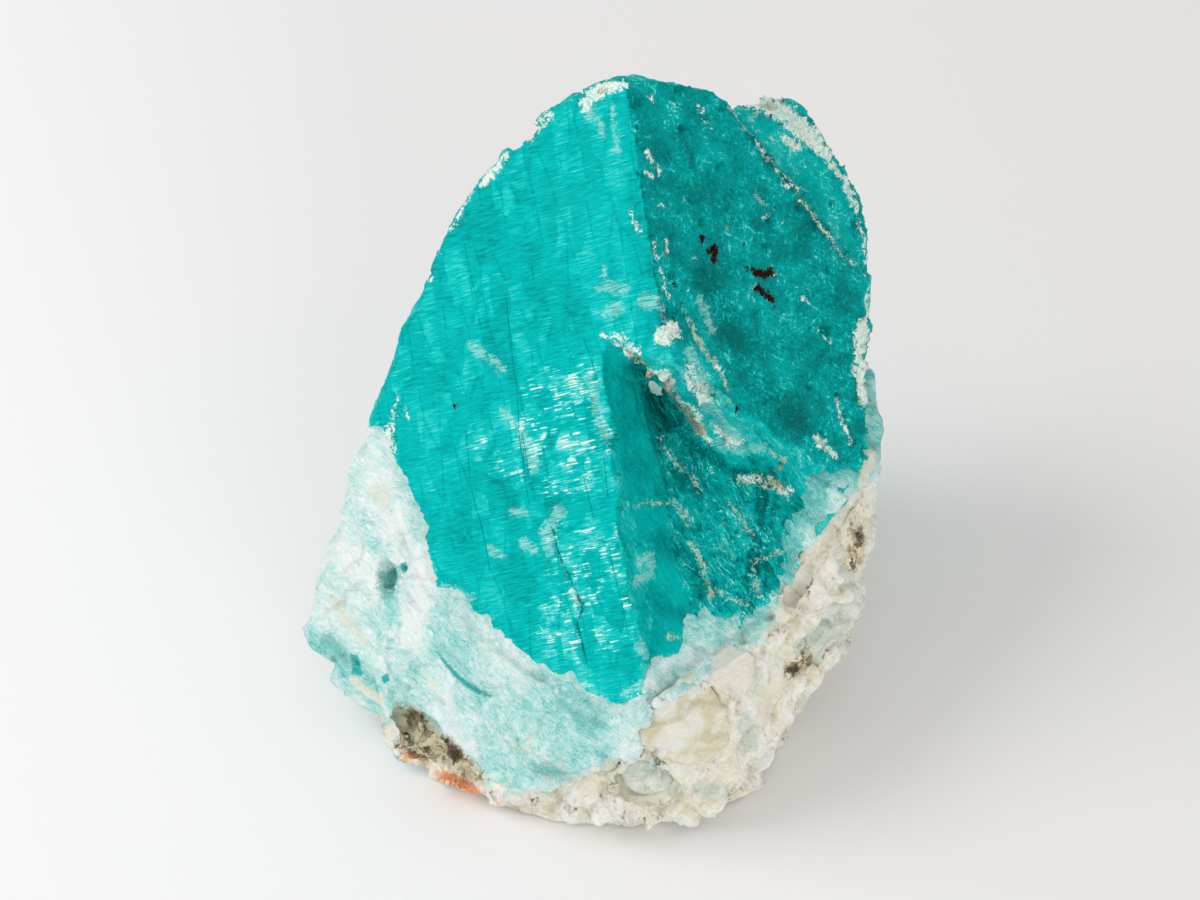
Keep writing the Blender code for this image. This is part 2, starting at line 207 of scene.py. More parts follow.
def worked(mesh, kind, **settings):
    """A mesh with one modifier applied."""
    obj = bpy.data.objects.new("work", mesh)
    bpy.context.scene.collection.objects.link(obj)
    if "vertex_group" in settings:
        group = obj.vertex_groups.new(name=settings["vertex_group"])
        weights = settings.pop("weights")
        for level in (0.25, 0.5, 0.75, 1.0):
            chosen = np.flatnonzero(np.abs(weights - level) < 0.125)
            group.add(chosen.tolist(), level, "REPLACE")
    modifier = obj.modifiers.new("work", kind)
    for key, value in settings.items():
        setattr(modifier, key, value)
    bpy.context.view_layer.update()
    graph = bpy.context.evaluated_depsgraph_get()
    result = bpy.data.meshes.new_from_object(obj.evaluated_get(graph))
    bpy.data.objects.remove(obj)
    return result


def remeshed(mesh, voxel):
    return worked(mesh, "REMESH", mode="VOXEL", voxel_size=voxel * MM)


def points_of(mesh, what="co"):
    values = np.empty(len(mesh.vertices) * 3, np.float32)
    mesh.vertices.foreach_get(what, values)
    return values.reshape(-1, 3).astype(float) / (MM if what == "co" else 1)


def set_points(mesh, p):
    mesh.vertices.foreach_set("co", (p * MM).astype(np.float32).ravel())
    mesh.update()


def tree_of(*meshes):
    points, faces = [], []
    for mesh in meshes:
        start = len(points)
        points += points_of(mesh).tolist()
        faces += [[start + i for i in f.vertices] for f in mesh.polygons]
    return BVHTree.FromPolygons(points, faces)


def distance(tree, p, most):
    """How far each point is from a surface, in mm, up to most."""
    out = np.full(len(p), most)
    for i, q in enumerate(p.tolist()):
        gap = tree.find_nearest(q, most)[3]
        if gap is not None:
            out[i] = gap
    return out


class Piece:
    """A fine mesh, as arrays."""

    def __init__(self, name, mesh, hidden=None):
        """Where hidden is near 1, the mesh is thinned until it has MOST_TRIANGLES."""
        triangles = sum(len(f.vertices) - 2 for f in mesh.polygons)
        if hidden is not None and triangles > MOST_TRIANGLES:
            weights = np.round(np.clip(hidden, 0, 1) * 4) / 4
            ratio = MOST_TRIANGLES / triangles
            mesh = worked(mesh, "DECIMATE", ratio=ratio, vertex_group="thin", weights=weights)
        self.obj = bpy.data.objects.new(name, mesh)
        bpy.context.scene.collection.objects.link(self.obj)
        self.p = points_of(mesh)
        self.base = self.p  # before any relief: features of the photograph are laid on these
        self.n = points_of(mesh, "normal")
        edges = np.empty(len(mesh.edges) * 2, np.int32)
        mesh.edges.foreach_get("vertices", edges)
        self.edges = edges.reshape(-1, 2)
        self.degree = np.maximum(np.bincount(edges, minlength=len(self.p)), 1)[:, None]

    def write(self):
        set_points(self.obj.data, self.p)
        self.n = points_of(self.obj.data, "normal")

    def averaged(self, values):
        """Each point's neighbours' average."""
        values = values.reshape(len(self.p), -1)
        total = np.empty_like(values)
        a, b = self.edges[:, 0], self.edges[:, 1]
        for k in range(values.shape[1]):
            v = values[:, k]
            total[:, k] = np.bincount(a, v[b], len(v)) + np.bincount(b, v[a], len(v))
        return total / self.degree

    def smooth(self, rounds, weight=0.5, where=None):
        for _ in range(rounds):
            w = weight if where is None else weight * where[:, None]
            self.p = self.p + w * (self.averaged(self.p) - self.p)
        self.write()

    def push(self, amount, way=None):
        """Moves each point by amount along its normal, or along way."""
        self.p = self.p + (self.n if way is None else way) * np.asarray(amount)[:, None]
        self.write()

    def facing(self):
        return smoothstep(-0.05, 0.12, towards_eye(self.p, self.n))

    def areas(self, outlines):
        """How far points that face the camera are inside any of the outlines, in mm."""
        xy, best = pixels(self.p), np.full(len(self.p), -FAR)
        for corners in outlines:
            best = np.maximum(best, inside_polygon(xy, corners))
        return np.where(towards_eye(self.p, self.n) > -0.1, best, -FAR)

    def paint(self, name, values):
        attribute = self.obj.data.attributes.new(name, "FLOAT", "POINT")
        attribute.data.foreach_set("value", np.asarray(values, np.float32))

    # distances from lines of pixels laid on the specimen

    def line(self, pixel_points, radius):
        """(points near the line, how far they are inside the band, in mm)."""
        places, radii = spotter.lay(pixel_points, radius)
        low, high = places.min(0) - 2.5, places.max(0) + 2.5
        near = np.flatnonzero(((self.base > low) & (self.base < high)).all(1))
        p = self.base[near]
        if len(places) == 1:
            return near, radii[0] - np.linalg.norm(p - places[0], axis=1)
        best = np.full(len(p), -9.0)
        for a, b, ra, rb in zip(places, places[1:], radii, radii[1:]):
            d = b - a
            t = np.clip(((p - a) @ d) / max(d @ d, 1e-9), 0, 1)
            gap = np.linalg.norm(p - a - t[:, None] * d, axis=1)
            best = np.maximum(best, ra + (rb - ra) * t - gap)
        return near, best

    def lines(self, rows):
        best = np.full(len(self.p), -FAR)
        for pixel_points, radius in rows:
            near, value = self.line(pixel_points, radius)
            best[near] = np.maximum(best[near], value)
        return best

    def tones(self, rows, soft=0.7):
        """Sums soft bands, each with its own amount."""
        total = np.zeros(len(self.p))
        for pixel_points, radius, amount in rows:
            near, value = self.line(pixel_points, radius)
            total[near] += amount * smoothstep(-soft, soft, value)
        return total

    def sides(self, rows):
        """For thin lines: the signed distance across the nearest one, and the plain distance to it."""
        side, gap = np.full(len(self.p), FAR), np.full(len(self.p), FAR)
        for pixel_points in rows:
            places, _ = spotter.lay(pixel_points, 0.0)
            low, high = places.min(0) - FAR, places.max(0) + FAR
            near = np.flatnonzero(((self.base > low) & (self.base < high)).all(1))
            p = self.base[near]
            for a, b in zip(places, places[1:]):
                d = b - a
                t = np.clip(((p - a) @ d) / max(d @ d, 1e-9), 0, 1)
                off = p - a - t[:, None] * d
                away = np.linalg.norm(off, axis=1)
                over = unit(np.cross(d, TO_EYE))
                closer = away < gap[near]
                side[near] = np.where(closer, off @ over, side[near])
                gap[near] = np.where(closer, away, gap[near])
        return side, gap


class Spotter:
    """Finds the place on the specimen that a pixel of the photograph shows."""

    def __init__(self, tree):
        self.tree = tree

    def place(self, x, y):
        """A pixel just outside the outline is moved towards the middle until it shows the specimen."""
        for share in np.arange(0, 0.2, 0.005):
            dx = (x + (MIDDLE_X - x) * share) - WIDTH / 2
            dy = HEIGHT / 2 - (y + (MIDDLE_Y - y) * share)
            way = np.array([dx, 0.0, 0.0]) * MM_PER_PIXEL + SCREEN_UP * dy * MM_PER_PIXEL - TO_EYE * DISTANCE
            hit = self.tree.ray_cast(Vector(EYE), Vector(unit(way)))[0]
            if hit is not None:
                return np.array(hit)
        raise ValueError(f"no part of the specimen is near pixel {x}, {y}")

    def lay(self, pixel_points, radius):
        """Places along a line of pixels, about a millimetre apart, and a radius for each."""
        xy = np.array(pixel_points, float)
        r = np.full(len(xy), radius, float) if np.isscalar(radius) else np.array(radius, float)
        if len(xy) == 1:
            return np.array([self.place(*xy[0])]), r
        places, radii = [], []
        for k in range(len(xy) - 1):
            count = max(1, int(np.linalg.norm(xy[k + 1] - xy[k]) / PIXELS_APART))
            for t in np.arange(count) / count:
                places.append(self.place(*(xy[k] + (xy[k + 1] - xy[k]) * t)))
                radii.append(r[k] + (r[k + 1] - r[k]) * t)
        places.append(self.place(*xy[-1]))
        radii.append(r[-1])
        return np.array(places), np.array(radii)


def whole_skin():
    """One closed skin round the specimen, with the gaps between its solids filled."""
    joined = bpy.data.meshes.new("joined")
    points, faces = [], []
    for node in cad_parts.values():
        start = len(points)
        points += [tuple(v.co) for v in node.data.vertices]
        faces += [[start + i for i in f.vertices] for f in node.data.polygons]
    joined.from_pydata(points, [], faces)
    skin = remeshed(joined, 0.2)
    for swell in (0.45, -0.45):
        set_points(skin, points_of(skin) + points_of(skin, "normal") * swell)
        skin = remeshed(skin, 0.2 if swell > 0 else SKIN_VOXEL)
    return skin


# Materials


def srgb(*values):
    """A colour given as in the photograph, 0 to 255, as the shader takes it."""
    out = []
    for v in values:
        v /= 255
        out.append(v / 12.92 if v <= 0.04045 else ((v + 0.055) / 1.055) ** 2.4)
    return (*out, 1.0)


class Shader:
    """Short ways to add and join the nodes of one material."""

    def __init__(self, name):
        self.material = bpy.data.materials.new(name)
        self.material.use_nodes = True
        self.tree = self.material.node_tree
        self.nodes, self.links = self.tree.nodes, self.tree.links
        self.surface = self.nodes["Principled BSDF"]
        coordinates = self.nodes.new("ShaderNodeTexCoord")
        self.p = self.scaled(coordinates.outputs["Object"], (1 / MM, 1 / MM, 1 / MM))

    def feed(self, socket, value):
        if isinstance(value, bpy.types.NodeSocket):
            self.links.new(value, socket)
        else:
            socket.default_value = value

    def add(self, kind, **settings):
        node = self.nodes.new("ShaderNode" + kind)
        for key, value in settings.items():
            setattr(node, key, value)
        return node

    def vector(self, operation, a, b):
        node = self.add("VectorMath", operation=operation)
        self.feed(node.inputs[0], a)
        self.feed(node.inputs[1], b)
        return node.outputs["Value" if operation == "DOT_PRODUCT" else 0]

    def scaled(self, vector, scale):
        return self.vector("MULTIPLY", vector, scale)

    def turned(self, a, b, c, scale, origin=None):
        """Coordinates along three directions, each scaled."""
        node = self.add("CombineXYZ")
        for socket, way, s in zip(node.inputs, (a, b, c), scale):
            self.feed(socket, self.vector("DOT_PRODUCT", origin or self.p, tuple(np.asarray(way) * s)))
        return node.outputs[0]

    def noise(self, vector, scale=1.0, detail=3.0, roughness=0.5, distortion=0.0, output="Fac"):
        node = self.add("TexNoise")
        self.feed(node.inputs["Vector"], vector)
        node.inputs["Scale"].default_value = scale
        node.inputs["Detail"].default_value = detail
        node.inputs["Roughness"].default_value = roughness
        node.inputs["Distortion"].default_value = distortion
        return node.outputs[output]

    def warped(self, amount, size):
        """Coordinates that a noise of this size has moved by up to about this many mm."""
        shift = self.vector("SUBTRACT", self.noise(self.p, 1 / size, 2.0, 0.5, 0.0, "Color"), (0.5, 0.5, 0.5))
        return self.vector("ADD", self.p, self.scaled(shift, (2 * amount,) * 3))

    def grains(self, vector, distance="EUCLIDEAN"):
        """(distance from the middle of a grain, a number from 0 to 1 for each grain)"""
        node = self.add("TexVoronoi", distance=distance)
        self.feed(node.inputs["Vector"], vector)
        node.inputs["Scale"].default_value = 1.0
        return node.outputs["Distance"], self.vector("DOT_PRODUCT", node.outputs["Color"], (1.0, 0.0, 0.0))

    def seams(self, vector):
        node = self.add("TexVoronoi", feature="DISTANCE_TO_EDGE")
        self.feed(node.inputs["Vector"], vector)
        node.inputs["Scale"].default_value = 1.0
        return node.outputs["Distance"]

    def math(self, operation, a, b=0.0, c=None):
        node = self.add("Math", operation=operation)
        self.feed(node.inputs[0], a)
        self.feed(node.inputs[1], b)
        if c is not None:
            self.feed(node.inputs[2], c)
        return node.outputs[0]

    def half(self, value):
        """A noise, moved so that its middle is at 0."""
        return self.math("SUBTRACT", value, 0.5)

    def creases(self, noise, wide, narrow):
        """Fine lines where a noise passes through its middle, fading out from narrow to wide."""
        return self.step(self.math("ABSOLUTE", self.half(noise)), wide, narrow)

    def times(self, *values):
        out = values[0]
        for value in values[1:]:
            out = self.math("MULTIPLY", out, value)
        return out

    def total(self, *terms):
        """Sums numbers, values and (value, amount) pairs."""
        out = None
        for term in terms:
            value, amount = term if isinstance(term, tuple) else (term, 1.0)
            if out is None:
                out = self.math("MULTIPLY", value, amount)
            else:
                out = self.math("MULTIPLY_ADD", value, amount, out)
        return out

    def step(self, value, low, high, to_low=0.0, to_high=1.0):
        node = self.add("MapRange", interpolation_type="SMOOTHSTEP")
        self.feed(node.inputs["Value"], value)
        for name, number in (("From Min", low), ("From Max", high), ("To Min", to_low), ("To Max", to_high)):
            node.inputs[name].default_value = number
        return node.outputs["Result"]

    def ramp(self, value, stops):
        node = self.add("ValToRGB")
        elements = node.color_ramp.elements
        while len(elements) < len(stops):
            elements.new(0.5)
        for element, (place, colour) in zip(elements, stops):
            element.position = place
            element.color = srgb(*colour)
        self.feed(node.inputs[0], value)
        return node.outputs[0]

    def mix(self, share, a, b):
        node = self.add("Mix", data_type="RGBA", clamp_factor=True)
        self.feed(node.inputs["Factor"], share)
        self.feed(node.inputs[6], a)
        self.feed(node.inputs[7], b)
        return node.outputs[2]

    def field(self, name):
        return self.add("Attribute", attribute_type="GEOMETRY", attribute_name=name).outputs["Fac"]

    def ragged(self, name, wobble, soft, wander=1.0):
        """A mask from a field in mm, whose edge wanders with a noise."""
        moved = self.math("MULTIPLY_ADD", self.half(wobble), wander, self.field(name))
        return self.step(moved, -soft, soft)

    def bump(self, height, distance, strength=1.0, onto=None):
        node = self.add("Bump")
        node.inputs["Strength"].default_value = strength
        node.inputs["Distance"].default_value = distance * MM
        self.feed(node.inputs["Height"], height)
        if onto is not None:
            self.feed(node.inputs["Normal"], onto)
        return node.outputs["Normal"]


def dress(piece, node, shader):
    """Makes the piece stand for its CAD node in this material."""
    obj = piece.obj
    obj.data.materials.clear()
    obj.data.materials.append(shader.material)
    obj.data.polygons.foreach_set("use_smooth", np.ones(len(obj.data.polygons), bool))
    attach(obj, "root")
    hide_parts(node)


# The crystal


def on_plane(n, normal, depth, near, far):
    """1 where a surface looks along a plane's normal and lies within near mm of it, 0 beyond far."""
    return smoothstep(0.75, 0.9, n @ normal) * (1 - smoothstep(near, far, np.abs(depth)))


def shape_crystal():
    mesh = remeshed(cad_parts["amazonite_crystal"].data.copy(), CRYSTAL_VOXEL)
    p = points_of(mesh)
    under = smoothstep(0.5, 0.9, distance(skin_tree, p, 1.0))
    piece = Piece("amazonite_crystal_fine", mesh, under)
    p, n = piece.p, piece.n
    left = (TIP - p) @ LEFT_NORMAL
    right = (TIP - p) @ RIGHT_NORMAL
    second = right - SECOND_SETBACK
    for depth, normal in ((left, LEFT_NORMAL), (right, RIGHT_NORMAL), (second, RIGHT_NORMAL)):
        # The CAD model keeps the large faces flat only to about 0.1 mm.
        lies = smoothstep(0.75, 0.9, n @ normal)
        near = (1 - smoothstep(0.12, 0.22, np.abs(depth))) * lies
        flaked = (1 - smoothstep(0.1, 0.16, np.abs(depth - 0.36))) * lies
        piece.p = piece.p + normal * (depth * near + 0.3 * flaked)[:, None]
    # The CAD model has a ledge down the left face. The photograph's face is flat there, so the two
    # sides of the ledge are brought level.
    gap = -inside_polygon(pixels(piece.p), LEFT_LEDGE + LEFT_LEDGE[-2:0:-1])
    depth = (TIP - piece.p) @ LEFT_NORMAL
    level = (np.abs(depth) < 1.0) * (piece.n @ LEFT_NORMAL > -0.2)
    ledge = (1 - smoothstep(0.8, 1.6, gap)) * level
    piece.p = piece.p + LEFT_NORMAL * (depth * level * (1 - smoothstep(0.8, 6.0, gap)))[:, None]
    piece.smooth(6, 0.6, ledge)
    left = (TIP - piece.p) @ LEFT_NORMAL
    piece.p = piece.p + LEFT_NORMAL * (left * ledge)[:, None]
    piece.write()
    piece.n = unit_rows(piece.n * (1 - ledge)[:, None] + LEFT_NORMAL * ledge[:, None])
    p, n = piece.p, piece.n
    on_left = on_plane(n, LEFT_NORMAL, left, 0.5, 0.7)
    on_left = np.maximum(on_left, ledge)
    on_right = on_plane(n, RIGHT_NORMAL, right, 0.3, 0.5)
    on_second = on_plane(n, RIGHT_NORMAL, second, 0.3, 0.5)
    on_right = np.maximum(on_right, on_second)
    on_face = np.maximum(on_left, on_right)
    xy, facing = pixels(p), piece.facing()
    floor = smoothstep(-0.15, 0.15, inside_polygon(xy, HOLLOW_FLOOR)) * facing * (1 - on_left)
    wall = smoothstep(-0.15, 0.15, inside_polygon(xy, HOLLOW_WALL)) * facing * (1 - on_left) * (1 - floor)
    rest = (1 - on_face) * (1 - np.maximum(floor, wall))
    piece.smooth(2, 0.5, rest)
    p = piece.p

    etched = np.stack([p @ STREAK * 0.45, p @ ACROSS_STREAK * 2.4, p @ LEFT_NORMAL * 0.4], 1)
    amount = on_left * (0.030 * fbm(etched, 1.0, 2, salt=3) + 0.03 * fbm(p, 4.0, 2, salt=2))
    amount += on_right * (0.05 * fbm(p, 2.2, 4, salt=5) - 0.06 * smoothstep(0.1, 0.5, fbm(p, 0.8, 3, salt=6)))
    across = unit(np.cross(FIBRES, RIGHT_NORMAL))
    fibre = np.stack([p @ FIBRES * 0.32, p @ across * 1.5, p @ RIGHT_NORMAL], 1)
    warp = 0.5 * np.stack([fbm(p, 1.8, 2, salt=s) for s in (12, 13, 14)], 1)
    rough = 0.6 * (ridged(fibre + warp, 1.2, 4, salt=8) - 0.6) + 0.26 * fbm(p, 0.8, 3, salt=9)
    amount += floor * rough + wall * (0.10 * fbm(p, 2.5, 3, salt=10) + 0.03 * fbm(p, 0.7, 2, salt=11))
    _, broken = cells(p + warp, 2.6, salt=15)
    _, split = cells(p + 2 * warp, 6.0, salt=18)
    amount += rest * (0.26 * broken + 0.5 * split + 0.2 * fbm(p, 1.6, 4, salt=16))
    amount -= 0.35 * smoothstep(-0.5, 0.5, piece.lines(CREVICE)) * np.maximum(floor, wall)
    amount -= on_left * (0.18 * smoothstep(-0.2, -0.04, -piece.sides(CRACKS[:1])[1]))
    for rows, height in ((CRYSTAL_CRUST, 0.16), (CRUMBLY, 0.42)):
        raised = smoothstep(-0.3, 0.3, piece.lines(rows)) * smoothstep(-0.3, 0.15, fbm(p, 0.9, 2, salt=23))
        _, crumb = cells(p, 0.55, salt=21)
        amount += raised * (height * 0.5 + height * 1.5 * crumb + height * fbm(p, 0.7, 2, salt=22))
    piece.push(amount)

    # chipped edges: points near an outer edge are knocked back here and there
    sharp = np.abs(piece.n - piece.averaged(piece.n)).sum(1)
    for _ in range(4):
        sharp = piece.averaged(sharp)[:, 0]
    edge = smoothstep(0.03, 0.09, sharp) * (1 - floor) * (1 - ledge)
    piece.push(-0.22 * smoothstep(0.05, 0.35, fbm(piece.p, 1.4, 4, salt=17)) * edge)
    paint_crystal(piece, on_left, on_right, on_second, floor, wall, rest)
    return piece


def paint_crystal(piece, on_left, on_right, on_second, floor, wall, rest):
    p = piece.p
    crust = np.maximum(piece.lines(CRYSTAL_CRUST), piece.lines(CRUMBLY))
    far = rest * (1 - piece.facing())
    crust = np.maximum(crust, np.where(far > 0.5, 1.6 * (fbm(p, 3.0, 4, salt=61) - 0.12), -FAR))
    piece.paint("crust", crust)
    piece.paint("patches", piece.lines(PALE_PATCHES))
    piece.paint("glints", piece.lines(GLINTS))
    piece.paint("stain", piece.lines(CRYSTAL_STAINS))
    piece.paint("specks", piece.lines(BLACK_SPECKS))
    piece.paint("veins", piece.lines(VEINS))
    side, gap = piece.sides(CRACKS)
    piece.paint("crack_side", side)
    piece.paint("crack_gap", gap)
    piece.paint("main_crack", 0.06 - piece.sides(CRACKS[:1])[1])
    piece.paint("rim", -inside_polygon(pixels(piece.base), TURQUOISE_AREA) * piece.facing())
    # painted shade: the faces turned from the key light, the right face, the second crystal's face and the hollow's
    # wall and floor, are painted darker than the left face
    tone = 0.045 * on_left + 0.185 * on_right - 0.05 * on_second + 0.07 * wall + 0.13 * floor
    piece.paint("tone", piece.tones(CRYSTAL_TONES_AND_SHADE) - tone)
    piece.paint("left", on_left)
    piece.paint("right", on_right)
    piece.paint("floor", np.maximum(floor, 0.6 * rest) + 0.3 * wall)


def amazonite():
    s = Shader("amazonite")
    in_left = (STREAK, ACROSS_STREAK, LEFT_NORMAL)
    bent = s.warped(0.12, 1.5)
    straight = s.warped(0.05, 2.5)
    lamellae = s.turned(*in_left, (0.75, 8.5, 0.5), straight)
    thin = s.turned(*in_left, (1.4, 12.0, 1.0), straight)
    stream = s.noise(s.turned(*in_left, (0.7, 5.5, 0.5), straight), 1.0, 4.0, 0.62)
    threads = s.noise(thin, 0.8, 3.0, 0.6)
    in_cleavage = (ACROSS_CLEAVAGE, CLEAVAGE, LEFT_NORMAL)
    columns = s.noise(s.turned(*in_cleavage, (0.6, 0.1, 0.1), straight), 1.0, 2.0, 0.5)
    d1, r1 = s.grains(lamellae, "CHEBYCHEV")
    d2, r2 = s.grains(thin, "CHEBYCHEV")
    mottle = s.noise(s.p, 0.4, 4.0, 0.55)
    patchy = s.noise(s.p, 0.9, 4.0, 0.6)
    speckle = s.noise(s.p, 3.2, 5.0, 0.68, 0.7)
    grain = s.noise(s.p, 9.0, 3.0, 0.6)
    left, right, floor = s.field("left"), s.field("right"), s.field("floor")
    glints = s.ragged("glints", patchy, 0.8, 3.0)

    # the left face: perthite strokes, pale blocks between cleavage traces; in the glint zones the strokes and blocks
    # are brighter and denser, partly the lamellae's own white and partly painted glints, a painted highlight
    clustered = s.times(glints, s.step(s.noise(straight, 0.8, 3.0, 0.6), 0.40, 0.60))
    first = s.times(s.step(s.total(r1, (clustered, 0.26)), 0.93, 1.24), s.step(d1, 0.46, 0.24))
    second = s.times(s.step(s.total(r2, (clustered, 0.24)), 0.82, 1.15), s.step(d2, 0.48, 0.26))
    _, block = s.grains(s.turned(*in_cleavage, (0.75, 0.42, 0.2), bent), "CHEBYCHEV")
    toned = s.half(block)
    block = s.times(s.step(s.total(block, (glints, 0.30)), 0.76, 0.8), s.step(patchy, 0.36, 0.6))
    traces = s.seams(s.turned(*in_cleavage, (0.75, 0.14, 0.1), bent))
    traces = s.times(s.step(traces, 0.05, 0.015), s.step(mottle, 0.42, 0.58))
    on_left = s.total(
        (s.half(stream), 0.30), (s.half(threads), 0.55), (toned, 0.07),
        (s.times(first, s.total(0.36, (glints, 0.55))), 1.0),
        (s.times(second, s.total(0.26, (glints, 0.25))), 1.0),
        (s.times(block, s.step(threads, 0.4, 0.6, 0.4, 1.0), s.total(0.08, (glints, 0.12))), 1.0),
        (traces, -0.08),
        (s.half(columns), 0.22), (s.times(clustered, s.step(threads, 0.36, 0.56)), 0.08),
    )
    # the right face and the broken ground: specks and fine scratches, with smooth dark windows
    speckled = s.step(mottle, 0.44, 0.54)
    flecks = s.step(speckle, 0.60, 0.70)
    web = s.creases(s.noise(bent, 2.0, 3.0, 0.6, 1.2), 0.03, 0.008)
    across = unit(np.cross(FIBRES, RIGHT_NORMAL))
    crumpled = s.warped(0.25, 0.7)
    ticks = 0.0
    for turn, share in ((0.5, 0.62), (-0.7, 0.60), (1.5, 0.64)):
        along = FIBRES * math.cos(turn) + across * math.sin(turn)
        way = s.turned(along, np.cross(RIGHT_NORMAL, along), RIGHT_NORMAL, (1.3, 4.0, 1.5), crumpled)
        tick = s.step(s.total(s.noise(way, 1.0, 3.0, 0.6), (speckled, 0.05)), share, share + 0.09)
        ticks = s.math("MAXIMUM", ticks, tick)
    on_right = s.total(
        (s.times(flecks, s.total(0.4, (speckled, 0.6))), 0.18), (s.times(web, speckled), 0.12),
        (s.times(ticks, s.step(patchy, 0.35, 0.62, 0.05, 0.32)), 1.0), (s.half(patchy), 0.18),
        (s.half(speckle), 0.30), (s.half(grain), 0.30),
    )
    torn = s.turned(FIBRES, across, RIGHT_NORMAL, (0.6, 3.4, 2.2), s.warped(0.4, 1.6))
    fibre = s.noise(torn, 1.0, 4.0, 0.65, 0.5)
    strings = s.creases(s.noise(torn, 0.6, 3.0, 0.6, 1.0), 0.025, 0.006)
    on_floor = s.total(
        (s.step(fibre, 0.56, 0.72), 0.28), (s.step(fibre, 0.48, 0.36), -0.16),
        (s.times(flecks, speckled), 0.14),
        (s.times(web, speckled), 0.14), (s.times(strings, s.step(patchy, 0.42, 0.56)), 0.38), (ticks, 0.08),
        (s.half(grain), 0.22),
    )
    tone = s.total(
        0.5, (s.half(mottle), 0.30), s.field("tone"), s.times(left, on_left),
        s.times(right, on_right), s.times(floor, on_floor),
        (s.times(s.math("SUBTRACT", 1.0, s.math("MAXIMUM", left, right)), s.half(speckle)), 0.2),
        (s.half(grain), 0.08),
    )
    rim = s.step(s.total(s.field("rim"), (s.half(speckle), 1.8)), -0.5, 0.0)
    tone = s.total(tone, (rim, 0.14))
    colour = s.ramp(tone, TURQUOISE)

    patch = s.ragged("patches", speckle, 0.12, 1.6)
    colour = s.mix(s.times(patch, s.step(threads, 0.38, 0.6, 0.1, 0.6)), colour, srgb(176, 232, 222))
    vein = s.ragged("veins", speckle, 0.08, 1.5)
    vein = s.times(vein, s.step(speckle, 0.42, 0.56, 0.1, 0.8))
    colour = s.mix(vein, colour, s.ramp(grain, [(0.35, (130, 196, 170)), (0.6, (222, 226, 200))]))
    wide = s.noise(bent, 1.5, 4.0, 0.7, 0.6)
    crust = s.ragged("crust", wide, 0.07, 1.9)
    crust = s.times(crust, s.step(s.total(speckle, (s.field("crust"), 0.4)), 0.47, 0.58))
    colour = s.mix(crust, colour, s.ramp(s.total((speckle, 0.6), (grain, 0.4)), CRUST))
    stain = s.ragged("stain", speckle, 0.06, 1.3)
    colour = s.mix(s.times(stain, 0.6), colour, s.ramp(grain, [(0.4, (110, 84, 48)), (0.6, (206, 178, 130))]))
    width = s.total(0.03, (s.half(speckle), 0.16))
    crack = s.math("LESS_THAN", s.math("ABSOLUTE", s.field("crack_side")), width)
    crack = s.times(crack, s.step(s.field("crack_gap"), 0.4, 0.25))
    colour = s.mix(s.times(crack, 0.6), colour, srgb(0, 120, 118))
    colour = s.mix(s.times(s.ragged("main_crack", speckle, 0.06, 0.5), 0.7), colour, srgb(0, 110, 110))
    speck = s.ragged("specks", s.noise(s.p, 5.0, 3.0, 0.7, 0.8), 0.04, 1.1)
    colour = s.mix(speck, colour, srgb(40, 20, 10))
    s.feed(s.surface.inputs["Base Color"], colour)

    rough = s.total(0.40, (crust, 0.3), (s.half(grain), 0.3))
    s.feed(s.surface.inputs["Roughness"], rough)
    s.surface.inputs["Specular IOR Level"].default_value = 0.03
    smooth = s.total((stream, 0.5), (threads, 0.35), (traces, -0.3), (block, 0.1))
    coarse = s.total((speckle, 0.7), (grain, 0.5), (fibre, 0.6))
    off_left = s.math("SUBTRACT", 1.0, left)
    height = s.total(s.times(left, smooth), (s.times(off_left, coarse), 1.6), (crack, -1.0))
    s.feed(s.surface.inputs["Normal"], s.bump(height, 0.10, 0.8))
    return s


# The matrix


